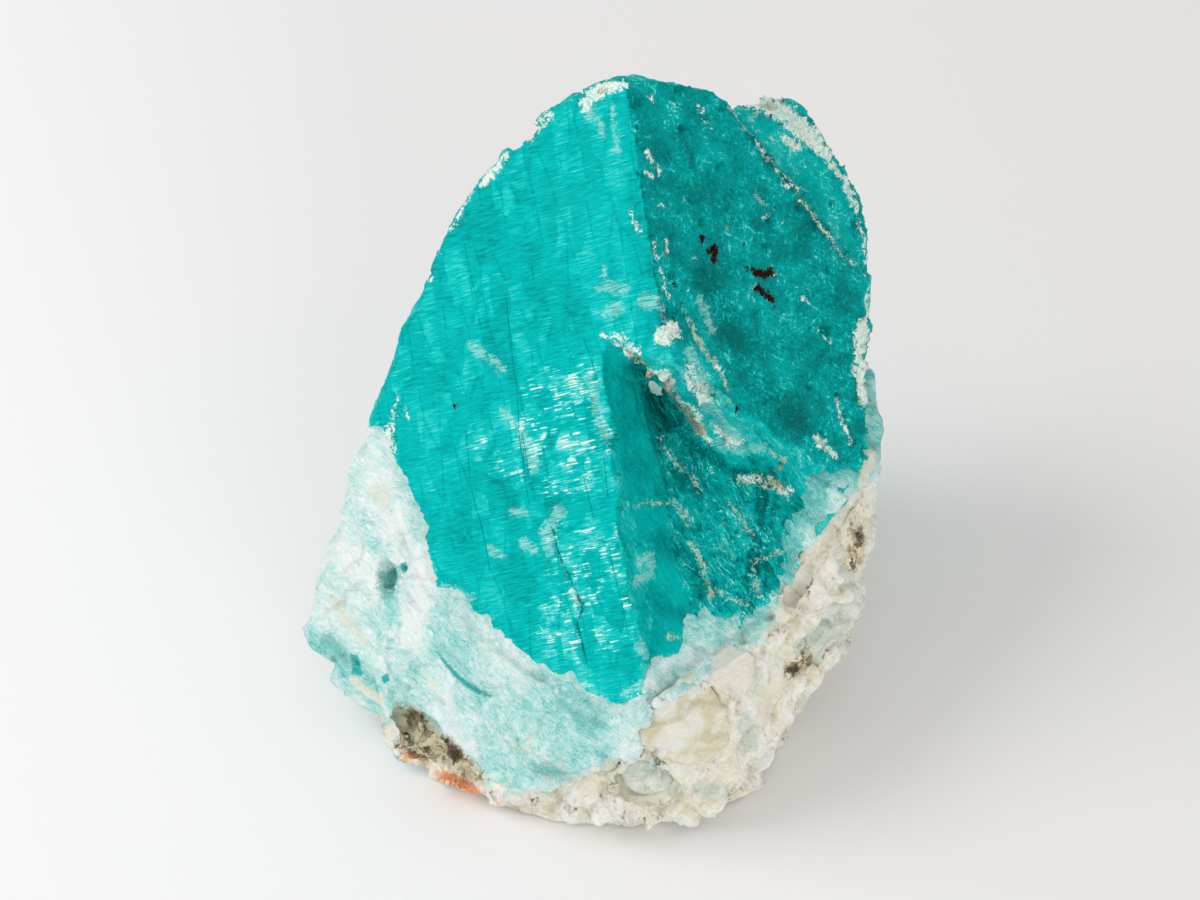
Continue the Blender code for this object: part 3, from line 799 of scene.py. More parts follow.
def shape_matrix():
    # Under the crystal and the quartz the skin dives out of sight. On the front it ends where the
    # photograph's turquoise does, and lies a little over the crystal up to there.
    p, n = points_of(skin), points_of(skin, "normal")
    gap = distance(matrix_tree, p, 4.0)
    facing = smoothstep(-0.05, 0.12, towards_eye(p, n))
    bare = inside_polygon(pixels(p), TURQUOISE_AREA) + 0.25 * fbm(p, 0.8, 3, salt=44)
    on_quartz = distance(quartz_tree, p, 1.0) < distance(crystal_tree, p, 1.0)
    ends = np.where(on_quartz, 1.0, 1 - facing * (1 - smoothstep(-0.1, 0.12, bare)) * (gap < 3.8))
    under = np.maximum(smoothstep(0.42, 0.85, gap) * ends, smoothstep(0.4, 0.8, bare) * facing * ~on_quartz)
    # a quartz grain shows only inside its outline in the photograph, and is lapped over round it
    grain = np.maximum.reduce([inside_polygon(pixels(p), outline) for outline in QUARTZ_AREAS])
    grain = smoothstep(-0.1, 0.15, grain + 0.3 * fbm(p, 0.7, 3, salt=47))
    lapped = on_quartz * facing * (1 - grain)
    inwards = INSIDE - p
    # over the hollow the crystal is a thin lip, so there the skin goes on into the body below
    deep = 3.2 + 2.0 * smoothstep(0.0, 1.0, inside_polygon(pixels(p), THIN_LIP))
    inwards *= (deep / np.linalg.norm(inwards, axis=1))[:, None]
    moved = np.where(on_quartz[:, None], -0.6 * n, inwards) * (under * (1 - lapped))[:, None]
    moved += n * (0.3 * lapped)[:, None]
    moved += n * (0.32 * smoothstep(0.2, 0.5, gap) * (1 - ends) * facing)[:, None]
    set_points(skin, p + moved)
    hidden = np.maximum((np.linalg.norm(moved, axis=1) > 2.6) * 1.0, 1 - smoothstep(0.0, 0.06, p[:, 2]))
    piece = Piece("feldspar_matrix_fine", skin, hidden)
    piece.smooth(2, 0.4)
    p = piece.p
    under = smoothstep(0.45, 0.7, distance(skin_tree, p, 1.0))
    xy, facing = pixels(p), piece.facing()
    away = smoothstep(0.1, 0.35, -towards_eye(p, piece.n))

    warp = np.stack([fbm(p, 2.5, 2, salt=s) for s in (32, 33, 34)], 1)
    scallop, _ = cells(p + 0.3 * warp, 1.1, salt=41)
    line = inside_polygon(xy, CRUMBS) + 1.1 * (0.4 - scallop)
    front = smoothstep(-0.15, 0.15, line) * (1 - away)
    foot = np.where(p[:, 1] > -2, 6.5, 6.5 * smoothstep(-14, 8, p[:, 0])) * smoothstep(-19, -13, p[:, 0])
    low = 1 - smoothstep(-0.2, 0.2, p[:, 2] - foot - 3.0 * fbm(p, 5.0, 3, salt=37) - 0.8 * (0.45 - scallop))
    crumbs = np.maximum(front, away * low)
    drawn = p - np.outer(0.6 * smoothstep(0, 6, p[:, 0]) * (p @ RIGHT_STRANDS), RIGHT_STRANDS)
    _, block = cells(drawn + 0.6 * warp, 2.2, salt=35)
    lump, chip = cells(drawn + 0.4 * warp, 0.95, salt=36)
    flow = np.stack([p @ FLOW * 0.5, p @ unit(np.cross(FLOW, (0, -0.8, 0.6))) * 1.3, p[:, 2] * 0.4], 1)
    rind = 0.22 * fbm(p, 2.6, 3, salt=38) + 0.12 * (ridged(flow + 0.4 * warp, 0.9, 3, salt=39) - 0.5)
    _, facet = cells(p + 0.8 * warp, 3.2, salt=48)
    rind += 0.06 * fbm(p, 0.55, 2, salt=45) + 0.28 * facet
    lobe, _ = cells(p * (1, 1, 0.7) + 0.3 * warp, 1.7, salt=42)
    coarse = 0.6 * block + 0.22 * chip + 0.08 * (0.35 - lump) + 0.5 * (0.62 - lobe)
    coarse += 0.04 * fbm(p, 0.5, 2, salt=40)
    coarse *= smoothstep(0.0, 1.0, distance(quartz_tree, p, 1.5))
    flat = smoothstep(-0.15, 0.1, piece.areas(MATRIX_AREAS["block"]))
    coarse = coarse * (1 - 0.85 * flat) + 0.4 * flat
    # the rind overhangs the crumbly ground below it
    step_down = -0.42 * smoothstep(-0.1, 0.15, line) * (1 - smoothstep(1.6, 3.2, line)) * facing
    shown = (1 - under) * (0.2 + 0.8 * smoothstep(0.1, 0.9, p[:, 2]))
    coarse *= 1 + 0.4 * smoothstep(5.0, 2.0, p[:, 2])
    crystals = smoothstep(-0.25, 0.15, piece.areas(MATRIX_AREAS["brown"]))
    _, prism = cells(p * (1, 1, 0.5), 0.6, salt=46)
    amount = ((1 - crumbs) * rind + crumbs * coarse + step_down + crystals * (0.4 * prism - 0.12)) * shown
    amount += 0.4 * smoothstep(-0.3, 0.2, piece.lines(LEDGES)) * (1 - under)
    amount -= 0.5 * smoothstep(-0.3, 0.2, piece.lines(GROOVES)) * (1 - under)
    piece.push(amount)
    outwards = unit((-0.5, -0.85, 0.1)) * np.ones((len(p), 1))
    piece.push(0.7 * smoothstep(-1.5, 0.5, piece.lines(FULLER)), outwards)
    piece.push(piece.tones(SHIFTS, 0.9), np.array([[1.0, 0.0, 0.0]]))
    piece.p[:, 2] = np.where(piece.p[:, 2] < 0.06, 0.0, piece.p[:, 2])
    piece.write()
    paint_matrix(piece, crumbs, block, 0.62 - lobe)
    return piece


def paint_matrix(piece, crumbs, block, lobe):
    for name, rows in MATRIX_FIELDS.items():
        piece.paint(name, np.maximum(piece.lines(rows), piece.areas(MATRIX_AREAS.get(name, []))))
    # painted light and shade on the crumbs: paler on their crests and raised facets, darker and warmer in the
    # hollows between them
    xy = pixels(piece.base)
    fade = smoothstep(-1.3, 0.1, inside_polygon(xy, TURQUOISE_AREA)) * smoothstep(640, 740, xy[:, 0])
    relief = 0.16 * block + 0.4 * np.clip(lobe, -0.6, 0.3)
    piece.paint("tone", piece.tones(MATRIX_TONES) - 0.42 * fade * (1 - crumbs) + crumbs * relief)
    piece.paint("crumbs", crumbs)


def feldspar():
    s = Shader("feldspar")
    bent = s.warped(0.5, 2.0)
    across = unit(np.cross(FLOW, (0, -0.8, 0.6)))
    third = unit(np.cross(FLOW, across))
    flow = s.turned(FLOW, across, third, (1.0, 3.4, 2.6), bent)
    broad = s.noise(s.p, 0.2, 4.0, 0.6, 0.5)
    swirl = s.noise(flow, 1.0, 5.0, 0.68, 1.5)
    middle = s.noise(bent, 0.9, 4.0, 0.65, 0.8)
    fine = s.noise(bent, 4.0, 4.0, 0.68, 0.9)
    streaks = s.noise(flow, 2.6, 4.0, 0.65, 1.2)
    grain = s.noise(s.p, 11.0, 3.0, 0.6)
    crumbs = s.field("crumbs")

    # white threads in the rind, and yellowish ones in the crumbs
    threads = s.creases(s.noise(flow, 1.3, 3.0, 0.6, 1.2), 0.05, 0.0)
    tone = s.total(
        0.56, (s.half(swirl), 1.2), (s.half(streaks), 0.9), (s.half(fine), 0.35),
        (s.half(broad), 1.1), (s.half(middle), 1.1),
        (s.half(grain), 0.2), (threads, 0.10), s.field("tone"),
    )
    colour = s.ramp(tone, PALE_BLUE)
    strands = s.noise(s.turned(RIGHT_STRANDS, across, third, (0.4, 2.6, 2.6), bent), 1.0, 4.0, 0.6, 0.6)
    crumb_tone = s.total(
        0.92, (s.half(middle), 1.0), (s.half(fine), 0.5), (s.half(strands), 1.2), s.field("tone")
    )
    colour = s.mix(crumbs, colour, s.ramp(crumb_tone, CREAM_WHITE))
    rusty = s.creases(s.noise(bent, 0.8, 4.0, 0.6, 1.5), 0.022, 0.004)
    rusty = s.times(rusty, crumbs, s.step(broad, 0.42, 0.52), 0.55)
    colour = s.mix(rusty, colour, srgb(206, 182, 128))
    dot, which = s.grains(s.scaled(bent, (1.8, 1.8, 1.8)))
    bits = s.times(s.step(which, 0.90, 0.92), s.step(dot, 0.4, 0.25), s.step(broad, 0.4, 0.55))
    colour = s.mix(s.times(bits, s.total(0.12, (crumbs, 0.4))), colour, srgb(140, 126, 92))

    crisp = s.total((fine, 0.5), (grain, 0.5))
    _, chunk = s.grains(s.scaled(bent, (2.6, 2.6, 1.6)))
    chunk = s.total(0.04, (chunk, 0.30), (fine, 0.5), (grain, 0.2))

    def over(name, soft, wander, share, low, high, wobble=None, source=None):
        mask = s.ragged(name, wobble or middle, soft, wander)
        return s.mix(s.times(mask, share), colour, s.ramp(source or crisp, [(0.38, low), (0.62, high)]))

    colour = over("cream", 0.3, 2.0, 0.8, (232, 222, 190), (252, 250, 240))
    colour = over("green", 0.35, 3.4, 0.6, (160, 190, 172), (222, 232, 220))
    colour = over("band", 0.3, 1.6, 0.5, (222, 222, 190), (238, 238, 214))
    colour = over("block", 0.05, 0.25, 1.0, (234, 228, 212), (250, 246, 236), fine)
    colour = over("tan", 0.12, 2.0, 0.9, (214, 174, 124), (255, 244, 224), fine, chunk)
    colour = over("brown", 0.12, 2.0, 0.95, (84, 60, 20), (244, 232, 196), fine, chunk)
    colour = over("orange", 0.08, 2.6, 0.9, (214, 88, 26), (252, 208, 152), crisp, chunk)
    colour = over("turquoise", 0.05, 0.8, 1.0, (0, 148, 148), (60, 204, 196), crisp)
    colour = over("haze", 0.25, 2.6, 0.85, (48, 164, 158), (156, 220, 212), fine)
    colour = over("dots", 0.03, 0.3, 0.85, (70, 50, 30), (110, 84, 52), fine)
    # the dark marks: painted shade in the small cavity and the pit's hole at the lower left, and dark spots of the
    # stone elsewhere
    colour = over("dark", 0.1, 0.9, 0.9, (44, 34, 20), (84, 70, 44), fine)
    s.feed(s.surface.inputs["Base Color"], colour)
    s.feed(s.surface.inputs["Roughness"], s.step(grain, 0.3, 0.7, 0.45, 0.75))
    s.surface.inputs["Specular IOR Level"].default_value = 0.3
    s.surface.inputs["Subsurface Weight"].default_value = 0.12
    s.surface.inputs["Subsurface Radius"].default_value = (1.0, 1.0, 0.9)
    s.surface.inputs["Subsurface Scale"].default_value = 0.5 * MM
    first = s.bump(s.total((swirl, 0.5), (middle, 0.4), (fine, 0.2), (streaks, 0.3)), 0.30, 0.8)
    s.feed(s.surface.inputs["Normal"], s.bump(grain, 0.03, 0.5, first))
    return s


# The quartz


def shape_quartz(node, salt):
    piece = Piece(node + "_fine", remeshed(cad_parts[node].data.copy(), QUARTZ_VOXEL))
    piece.smooth(3, 0.5)
    _, facet = cells(piece.p, 2.2, salt=salt)
    _, small = cells(piece.p, 0.9, salt=salt + 3)
    piece.push(0.10 + 0.55 * facet + 0.10 * small + 0.08 * fbm(piece.p, 1.6, 2, salt=salt + 1))
    piece.smooth(2, 0.5)
    piece.p[:, 2] = np.maximum(piece.p[:, 2], 0.0)
    piece.write()
    return piece


def quartz(name, stops):
    s = Shader(name)
    bent = s.warped(0.4, 1.5)
    veil = s.noise(bent, 0.5, 3.0, 0.5, 1.0)
    fine = s.noise(bent, 2.6, 3.0, 0.6)
    strand = s.creases(s.noise(bent, 0.5, 4.0, 0.6, 1.5), 0.03, 0.0)
    tone = s.total((veil, 0.85), (fine, 0.15), (strand, 0.06))
    s.feed(s.surface.inputs["Base Color"], s.ramp(tone, stops))
    s.feed(s.surface.inputs["Roughness"], s.step(fine, 0.3, 0.7, 0.2, 0.4))
    s.surface.inputs["IOR"].default_value = 1.544
    s.surface.inputs["Transmission Weight"].default_value = 0.2
    s.surface.inputs["Subsurface Weight"].default_value = 0.4
    s.surface.inputs["Subsurface Radius"].default_value = (1.0, 1.0, 0.8)
    s.surface.inputs["Subsurface Scale"].default_value = 1.0 * MM
    s.feed(s.surface.inputs["Normal"], s.bump(veil, 0.12, 0.4))
    return s


CRYSTAL_VOXEL = 0.17
SKIN_VOXEL = 0.18
QUARTZ_VOXEL = 0.16

# Ramps, from dark to pale: places and colours.
TURQUOISE = [
    (0.0, (0, 60, 60)), (0.22, (0, 124, 120)), (0.42, (0, 176, 172)), (0.55, (0, 196, 192)), (0.68, (66, 210, 203)),
    (0.82, (160, 228, 219)), (1.0, (244, 248, 238)),
]
CRUST = [(0.36, (120, 208, 196)), (0.46, (196, 232, 220)), (0.58, (252, 253, 243))]
PALE_BLUE = [
    (0.0, (84, 190, 186)), (0.25, (140, 216, 210)), (0.5, (192, 236, 231)), (0.75, (234, 249, 246)),
    (1.0, (254, 255, 254)),
]
CREAM_WHITE = [
    (0.0, (166, 146, 100)), (0.25, (208, 200, 160)), (0.5, (232, 227, 200)), (0.75, (249, 246, 230)),
    (1.0, (255, 254, 246)),
]

# Outlines in pixels of the photograph.
HOLLOW_FLOOR = [
    (604, 336), (630, 350), (640, 363), (667, 373), (674, 392), (693, 411), (700, 426), (710, 440), (730, 467),
    (754, 474), (793, 487), (818, 519), (796, 537), (788, 566), (779, 591), (754, 615), (703, 622), (688, 632),
    (690, 600), (672, 560), (664, 500), (655, 455), (640, 400), (633, 361),
]
HOLLOW_WALL = [
    (585, 343), (604, 387), (615, 436), (619, 465), (630, 506), (640, 537), (654, 547), (647, 569), (651, 598),
    (653, 622), (647, 664), (679, 656), (688, 632), (690, 600), (672, 560), (664, 500), (655, 455), (640, 400),
    (633, 361), (604, 336),
]
TURQUOISE_AREA = [
    (378, 426), (396, 470), (413, 508), (425, 550), (435, 590), (447, 592), (458, 597), (464, 606), (469, 612),
    (484, 626), (499, 638), (514, 650), (528, 662), (540, 672), (551, 681), (566, 682), (587, 685), (596, 692),
    (604, 700), (614, 706), (626, 708), (636, 690), (646, 667), (662, 662), (679, 656), (684, 642), (688, 632),
    (694, 625), (703, 622), (730, 618), (754, 615), (768, 604), (779, 591), (788, 566), (793, 550), (796, 537),
    (802, 518), (810, 519), (817, 518), (819, 504), (819, 496), (814, 487), (826, 474), (841, 467), (860, 467),
    (884, 460), (960, 400), (960, 0), (300, 0), (300, 426),
]
THIN_LIP = [(622, 330), (700, 330), (745, 400), (745, 455), (690, 455), (622, 400)]
CRUMBS = [
    (398, 700), (414, 716), (427, 728), (441, 738), (451, 748), (463, 752), (473, 764), (486, 775), (500, 785),
    (512, 787), (530, 790), (560, 783), (580, 777), (610, 763), (635, 755), (640, 735), (650, 708), (690, 684),
    (712, 670), (727, 650), (745, 640), (762, 640), (775, 600), (794, 560), (820, 520), (847, 500), (880, 480),
    (920, 460), (920, 860), (370, 860), (370, 740),
]

# Lines of pixels of the photograph, each with a radius in mm, or one for each point.
LEFT_LEDGE = [
    (500, 285), (510, 340), (512, 400), (511, 441), (518, 480), (529, 515), (540, 545), (556, 600), (570, 656),
    (586, 700),
]
CREVICE = [([(630, 356), (645, 380), (662, 402), (680, 422), (696, 440)], [0.2, 0.5, 0.6, 0.6, 0.3])]
CRYSTAL_CRUST = [
    ([(664, 334), (672, 330)], 0.75),
    ([(618, 335), (628, 346), (640, 350)], 0.28),
    ([(604, 334), (612, 338)], 0.2),
    ([(712, 362), (722, 372)], 0.12),
    ([(750, 478), (775, 483), (792, 490)], 0.1),
    ([(573, 589), (577, 600), (579, 614)], [0.12, 0.18, 0.1]),
    ([(563, 560), (568, 574)], [0.06, 0.1]),
    ([(818, 440), (826, 448), (835, 456)], [0.45, 0.35, 0.25]),
    ([(838, 400), (842, 420), (850, 440)], 0.2),
    # the top and the upper left edge
    ([(622, 84), (600, 90), (586, 100), (584, 110)], [0.4, 0.6, 0.5, 0.3]),
    ([(552, 116), (536, 132), (528, 140)], 0.22),
    ([(505, 156), (492, 170), (484, 184)], [0.3, 0.45, 0.3]),
    ([(472, 192), (460, 212), (452, 228)], 0.18),
    ([(440, 252), (430, 280)], 0.12),
    ([(398, 395), (392, 420), (388, 440), (396, 452)], [0.15, 0.25, 0.3, 0.15]),
    ([(404, 408), (408, 420)], 0.1),
    # flecks beside the ridge and on the right face
    ([(647, 93), (654, 101)], 0.14),
    ([(672, 102), (676, 108)], 0.1),
    ([(697, 106), (704, 110)], 0.12),
    ([(704, 120), (712, 130)], 0.13),
    ([(646, 151), (652, 160), (660, 174)], 0.2),
    ([(647, 172), (651, 176)], 0.2),
    ([(662, 206)], 0.17),
    ([(709, 196)], 0.1),
    ([(684, 199)], 0.08),
    ([(783, 222)], 0.14),
    ([(764, 217), (770, 217)], 0.09),
    ([(774, 210)], 0.1),
    ([(690, 258), (697, 260)], 0.08),
    ([(632, 213), (634, 222), (638, 231)], 0.13),
    ([(652, 243), (657, 258), (661, 276), (668, 297)], [0.16, 0.12, 0.16, 0.14]),
    ([(665, 240), (668, 252)], 0.16),
    ([(772, 268), (778, 278)], 0.1),
    ([(755, 280), (752, 290)], 0.1),
    ([(800, 295), (812, 305)], 0.08),
    ([(818, 330), (832, 345)], 0.1),
    # the second crystal's rim and the seam in front of it
    ([(745, 106), (765, 106), (782, 112), (800, 128), (815, 140), (828, 156)], [0.25, 0.6, 0.8, 0.9, 0.8, 0.5]),
    ([(785, 140), (800, 148)], 0.35),
    ([(830, 165), (842, 178), (850, 194), (856, 210)], [0.35, 0.4, 0.4, 0.3]),
    ([(858, 222), (864, 240), (866, 262)], 0.2),
    ([(753, 139), (761, 153)], 0.14),
    ([(776, 169), (784, 183), (794, 191)], [0.1, 0.2, 0.2]),
    ([(799, 202)], 0.16),
    ([(818, 223), (828, 235), (839, 249)], [0.06, 0.12, 0.1]),
    ([(850, 262), (865, 276)], 0.1),
    # the right edge
    ([(867, 290), (863, 330), (862, 372), (864, 400)], [0.5, 0.9, 0.9, 0.6]),
    ([(872, 412), (878, 440), (880, 466)], [0.5, 0.5, 0.4]),
]
CRUMBLY = [
    ([(606, 334), (620, 345), (634, 354), (646, 366), (662, 371), (671, 384)], [0.2, 0.3, 0.34, 0.34, 0.46, 0.4]),
    ([(671, 384), (680, 398), (694, 410), (699, 420), (704, 436), (714, 446)], [0.38, 0.3, 0.34, 0.32, 0.2, 0.14]),
    ([(686, 366), (696, 384), (706, 398)], [0.3, 0.5, 0.4]),
    ([(716, 430), (732, 444), (742, 436)], 0.36),
    ([(736, 476), (752, 480), (772, 484), (790, 498)], [0.1, 0.22, 0.2, 0.1]),
]
PALE_PATCHES = [
    ([(598, 289), (612, 287), (626, 290)], [0.2, 0.4, 0.3]),
    ([(601, 316), (610, 312), (617, 308)], [0.1, 0.4, 0.4]),
    ([(645, 300), (652, 302)], 0.5),
    ([(660, 308), (663, 318)], 0.25),
    ([(604, 268), (604, 276)], 0.12),
    ([(600, 124), (602, 134)], 0.2),
    ([(612, 105), (614, 130), (617, 150)], 0.12),
    ([(587, 106), (590, 116)], 0.4),
    ([(472, 346), (480, 354)], 0.35),
    ([(490, 360), (500, 370)], 0.3),
    ([(502, 414), (510, 420)], 0.3),
    ([(546, 532), (550, 550)], 0.4),
    ([(490, 550), (498, 556)], 0.3),
    ([(522, 544), (530, 550)], 0.35),
    ([(510, 512), (524, 514)], 0.25),
    ([(444, 588), (470, 598)], 0.3),
    ([(640, 646), (645, 656)], 0.25),
    ([(626, 692), (645, 684), (664, 672)], [0.2, 0.35, 0.2]),
    ([(588, 380), (596, 400), (604, 436)], 0.3),
    ([(524, 436), (532, 452), (536, 466)], 0.35),
    ([(640, 560), (652, 556), (650, 574), (638, 580)], 0.3),
    ([(562, 510), (552, 524)], 0.4),
    ([(690, 352), (700, 388), (712, 410), (736, 436)], [0.4, 0.7, 0.8, 0.5]),
    ([(700, 300), (712, 330)], 0.3),
    ([(720, 444), (744, 452), (764, 444)], 0.3),
    ([(756, 196), (764, 204)], 0.15),
    ([(740, 128), (750, 118), (760, 112)], 0.2),
]
# Zones of the left face where its white strokes are brightened as painted glints, partly the perthite's own white
GLINTS = [
    ([(535, 386), (560, 388), (585, 380)], 1.0),
    ([(526, 440), (560, 420), (600, 400)], 1.4),
    ([(530, 460), (570, 450), (612, 440)], 1.5),
    ([(560, 480), (600, 476)], 1.3),
    ([(570, 540), (615, 545)], 1.5),
    ([(570, 570), (625, 575)], 1.5),
    ([(560, 610), (620, 605)], 1.4),
    ([(556, 640), (620, 632)], 1.2),
    ([(480, 440), (500, 470)], 0.5),
]
CRYSTAL_STAINS = [
    ([(632, 350), (652, 370), (664, 380), (674, 398), (690, 416), (700, 432)], 0.26),
    ([(774, 480), (784, 488)], 0.14),
    ([(600, 92), (606, 90)], 0.16),
    ([(711, 596)], 0.12),
    ([(742, 124)], 0.2),
    ([(762, 106), (774, 108)], 0.2),
    ([(727, 228)], 0.12),
    ([(666, 254)], 0.12),
    ([(773, 472), (784, 463)], 0.1),
]
BLACK_SPECKS = [
    ([(702, 238)], 0.27),
    ([(709, 251), (715, 248), (714, 261)], [0.2, 0.3, 0.22]),
    ([(747, 269)], 0.16),
    ([(756, 273), (764, 275), (771, 272)], 0.28),
    ([(752, 269)], 0.2),
    ([(758, 288), (762, 291)], 0.28),
    ([(767, 295), (772, 300)], 0.26),
    ([(774, 308)], 0.14),
    ([(744, 244)], 0.1),
    ([(675, 285)], 0.18),
    ([(681, 303)], 0.08),
    ([(722, 352)], 0.1),
    ([(454, 406)], 0.12),
    ([(771, 117)], 0.14),
    ([(780, 125)], 0.12),
    ([(741, 124)], 0.12),
]
VEINS = [
    ([(684, 308), (692, 326), (700, 345), (714, 362), (728, 388)], [0.04, 0.12, 0.2, 0.16, 0.04]),
    ([(676, 500), (683, 512), (688, 524)], [0.08, 0.16, 0.08]),
    ([(690, 540), (698, 556), (704, 572), (710, 596)], [0.1, 0.1, 0.14, 0.14]),
    ([(716, 588), (728, 598), (745, 604)], [0.05, 0.1, 0.06]),
    ([(740, 480), (756, 478), (772, 484), (786, 494)], [0.2, 0.3, 0.34, 0.2]),
    ([(660, 438), (674, 462), (690, 474), (700, 492)], 0.06),
    ([(748, 560), (756, 578), (760, 596)], 0.08),
    ([(728, 500), (742, 520), (752, 536)], 0.08),
    ([(756, 560), (780, 552), (796, 548)], 0.08),
    ([(670, 636), (677, 638)], 0.2),
    ([(766, 440), (776, 452), (786, 462)], 0.12),
    ([(728, 106), (745, 128), (768, 157), (794, 190), (818, 223), (839, 249), (864, 277)], 0.09),
    ([(634, 506), (650, 502), (668, 504)], 0.05),
]
CRACKS = [
    [(554, 530), (560, 553), (566, 568), (578, 592), (583, 609), (578, 624), (582, 638), (587, 659)],
    [(600, 539), (610, 542), (616, 574), (623, 600), (628, 627)],
    [(505, 305), (512, 370), (520, 433), (525, 470), (530, 505)],
    [(606, 462), (609, 492)],
    [(465, 436), (469, 477)],
    [(472, 495), (484, 542), (488, 565)],
    [(585, 343), (596, 376)],
    [(586, 480), (594, 512)],
    [(524, 434), (530, 470)],
]
# Tone shifts on the crystal, each with a radius in mm and an amount; the darkening along the hollow's crevice is
# painted shade
CRYSTAL_TONES_AND_SHADE = [
    ([(536, 496), (552, 506), (560, 500)], 0.5, -0.10),
    ([(500, 440), (505, 500)], 0.9, -0.05),
    ([(470, 430), (475, 480)], 0.7, -0.03),
    ([(555, 650), (590, 690), (610, 690)], 1.2, 0.08),
    ([(440, 560), (480, 600)], 0.8, 0.05),
    ([(410, 400), (405, 440), (420, 480)], 0.9, 0.05),
    ([(640, 560), (646, 575)], 0.5, 0.12),
    ([(577, 592), (578, 610)], 0.12, 0.5),
    ([(600, 250), (640, 250)], 1.0, 0.04),
    ([(660, 110), (690, 150), (720, 170)], 1.4, 0.06),
    ([(770, 130), (810, 180), (840, 230)], 1.2, 0.10),
    ([(800, 180), (830, 280), (850, 400)], 1.6, -0.04),
    ([(600, 180), (625, 180)], 1.0, 0.04),
    ([(680, 135), (690, 160)], 0.6, -0.08),
    ([(705, 280), (725, 310), (735, 345)], 1.1, -0.09),
    ([(750, 380), (780, 405), (800, 425)], 0.9, -0.07),
    ([(700, 180), (760, 230)], 1.0, -0.03),
    ([(755, 330), (770, 350)], 0.7, -0.06),
    ([(746, 132), (768, 160), (790, 186)], 0.2, -0.16),
    ([(800, 206), (818, 230), (840, 252), (862, 274)], 0.15, -0.14),
    ([(750, 120), (770, 140), (800, 176)], 0.7, 0.06),
    ([(668, 350), (690, 366), (716, 400), (750, 440)], 1.0, 0.12),
    ([(620, 84), (660, 84)], 0.5, 0.05),
    # painted shade: darker in the crevice under the hollow's broken edge and on the ground just below it
    ([(636, 368), (650, 390), (668, 412), (684, 430), (697, 447)], 0.6, -0.22),
    ([(650, 410), (668, 450), (690, 480)], 1.0, -0.12),
    ([(700, 455), (740, 470), (790, 480)], 0.4, -0.20),
    ([(620, 400), (635, 440)], 0.6, -0.06),
    ([(640, 470), (655, 500)], 0.9, -0.04),
    ([(660, 540), (676, 556)], 0.7, -0.14),
    ([(655, 600), (684, 616)], 0.7, -0.10),
    ([(694, 560), (702, 590)], 0.4, -0.12),
    ([(720, 530), (760, 540)], 1.2, 0.05),
]
MATRIX_AREAS = {
    "brown": [
        [(400, 716), (408, 706), (418, 708), (430, 722), (440, 734), (452, 740), (464, 754), (476, 766), (490, 779),
         (478, 780), (460, 768), (444, 764), (424, 760), (406, 757), (399, 742)],
        [(786, 664), (800, 655), (816, 650), (826, 636), (832, 642), (822, 660), (808, 670), (790, 680)],
        [(852, 532), (861, 524), (866, 540), (860, 560), (853, 574), (849, 556)],
    ],
    "tan": [[(399, 752), (414, 756), (436, 762), (452, 770), (470, 782), (482, 796), (440, 792), (412, 776)]],
    "orange": [
        [(399, 751), (406, 755), (413, 766), (404, 764)],
        [(440, 770), (456, 774), (468, 780), (480, 789), (484, 798), (462, 796), (446, 786)],
        [(496, 803), (503, 806), (498, 812)],
    ],
    # dark: partly painted shade in the lower left cavity, partly dark spots
    "dark": [
        [(446, 748), (452, 743), (460, 750), (463, 758), (456, 763), (449, 758)],
        [(788, 668), (796, 664), (800, 670), (792, 676)],
    ],
    "block": [
        [(716, 652), (730, 646), (744, 649), (756, 656), (757, 672), (752, 686), (740, 694), (726, 696), (714, 688),
         (711, 668)],
    ],
    "turquoise": [
        [(350, 656), (357, 654), (361, 664), (359, 675), (352, 674)],
        [(382, 675), (388, 673), (390, 681), (384, 684)],
        [(435, 648), (446, 661), (457, 673), (468, 682), (480, 690), (493, 696), (491, 698), (478, 694), (465, 686),
         (454, 676), (443, 663)],
        [(400, 564), (406, 562), (408, 570), (403, 575)],
    ],
    "haze": [[(379, 574), (388, 568), (398, 566), (402, 574), (398, 588), (392, 600), (384, 600), (378, 588)]],
    "green": [
        [(757, 656), (763, 664), (763, 680), (756, 692), (750, 697), (753, 686), (758, 672)],
        [(535, 770), (552, 762), (571, 764), (566, 776), (545, 780)],
    ],
}
FULLER = [([(392, 740), (412, 756), (440, 770), (480, 782), (510, 796)], 0.4)]
SHIFTS = [  # each with how far it moves to the right
    ([(330, 535), (324, 555)], 0.9, 0.5),
    ([(322, 560), (316, 585)], 0.6, 0.2),
    ([(322, 668), (334, 690), (362, 722)], 0.8, 0.8),
    ([(878, 395), (886, 415), (887, 440), (885, 465), (882, 480)], 1.4, -0.65),
]
QUARTZ_AREAS = [
    [(649, 692), (668, 678), (690, 682), (714, 688), (728, 702), (731, 730), (724, 752), (700, 775), (668, 766),
     (640, 754), (645, 722)],
    [(615, 764), (640, 757), (668, 768), (682, 786), (664, 802), (640, 804), (618, 792)],
    [(804, 606), (830, 598), (858, 604), (860, 630), (846, 645), (815, 646), (803, 628)],
]
LEDGES = [
    ([(470, 700), (520, 742), (570, 765), (600, 760)], 0.2),
    ([(640, 735), (650, 708), (690, 684)], 0.1),
    ([(533, 800), (580, 806), (620, 800)], 0.3),
]
GROOVES = [
    ([(437, 650), (451, 667), (463, 679), (478, 692), (492, 696)], [0.0, 0.08, 0.10, 0.06, 0.0]),
    ([(520, 766), (560, 782), (600, 776)], 0.08),
    ([(757, 652), (759, 672), (752, 694)], 0.06),
    ([(446, 748), (456, 754)], 0.2),
    ([(394, 574), (388, 590)], [0.15, 0.35]),
    ([(403, 568)], 0.1),
    ([(355, 664)], 0.15),
]
FLOW = unit((0.78, -0.3, -0.55))
RIGHT_STRANDS = on_screen(62.0, unit((0.6, -0.7, 0.35)))
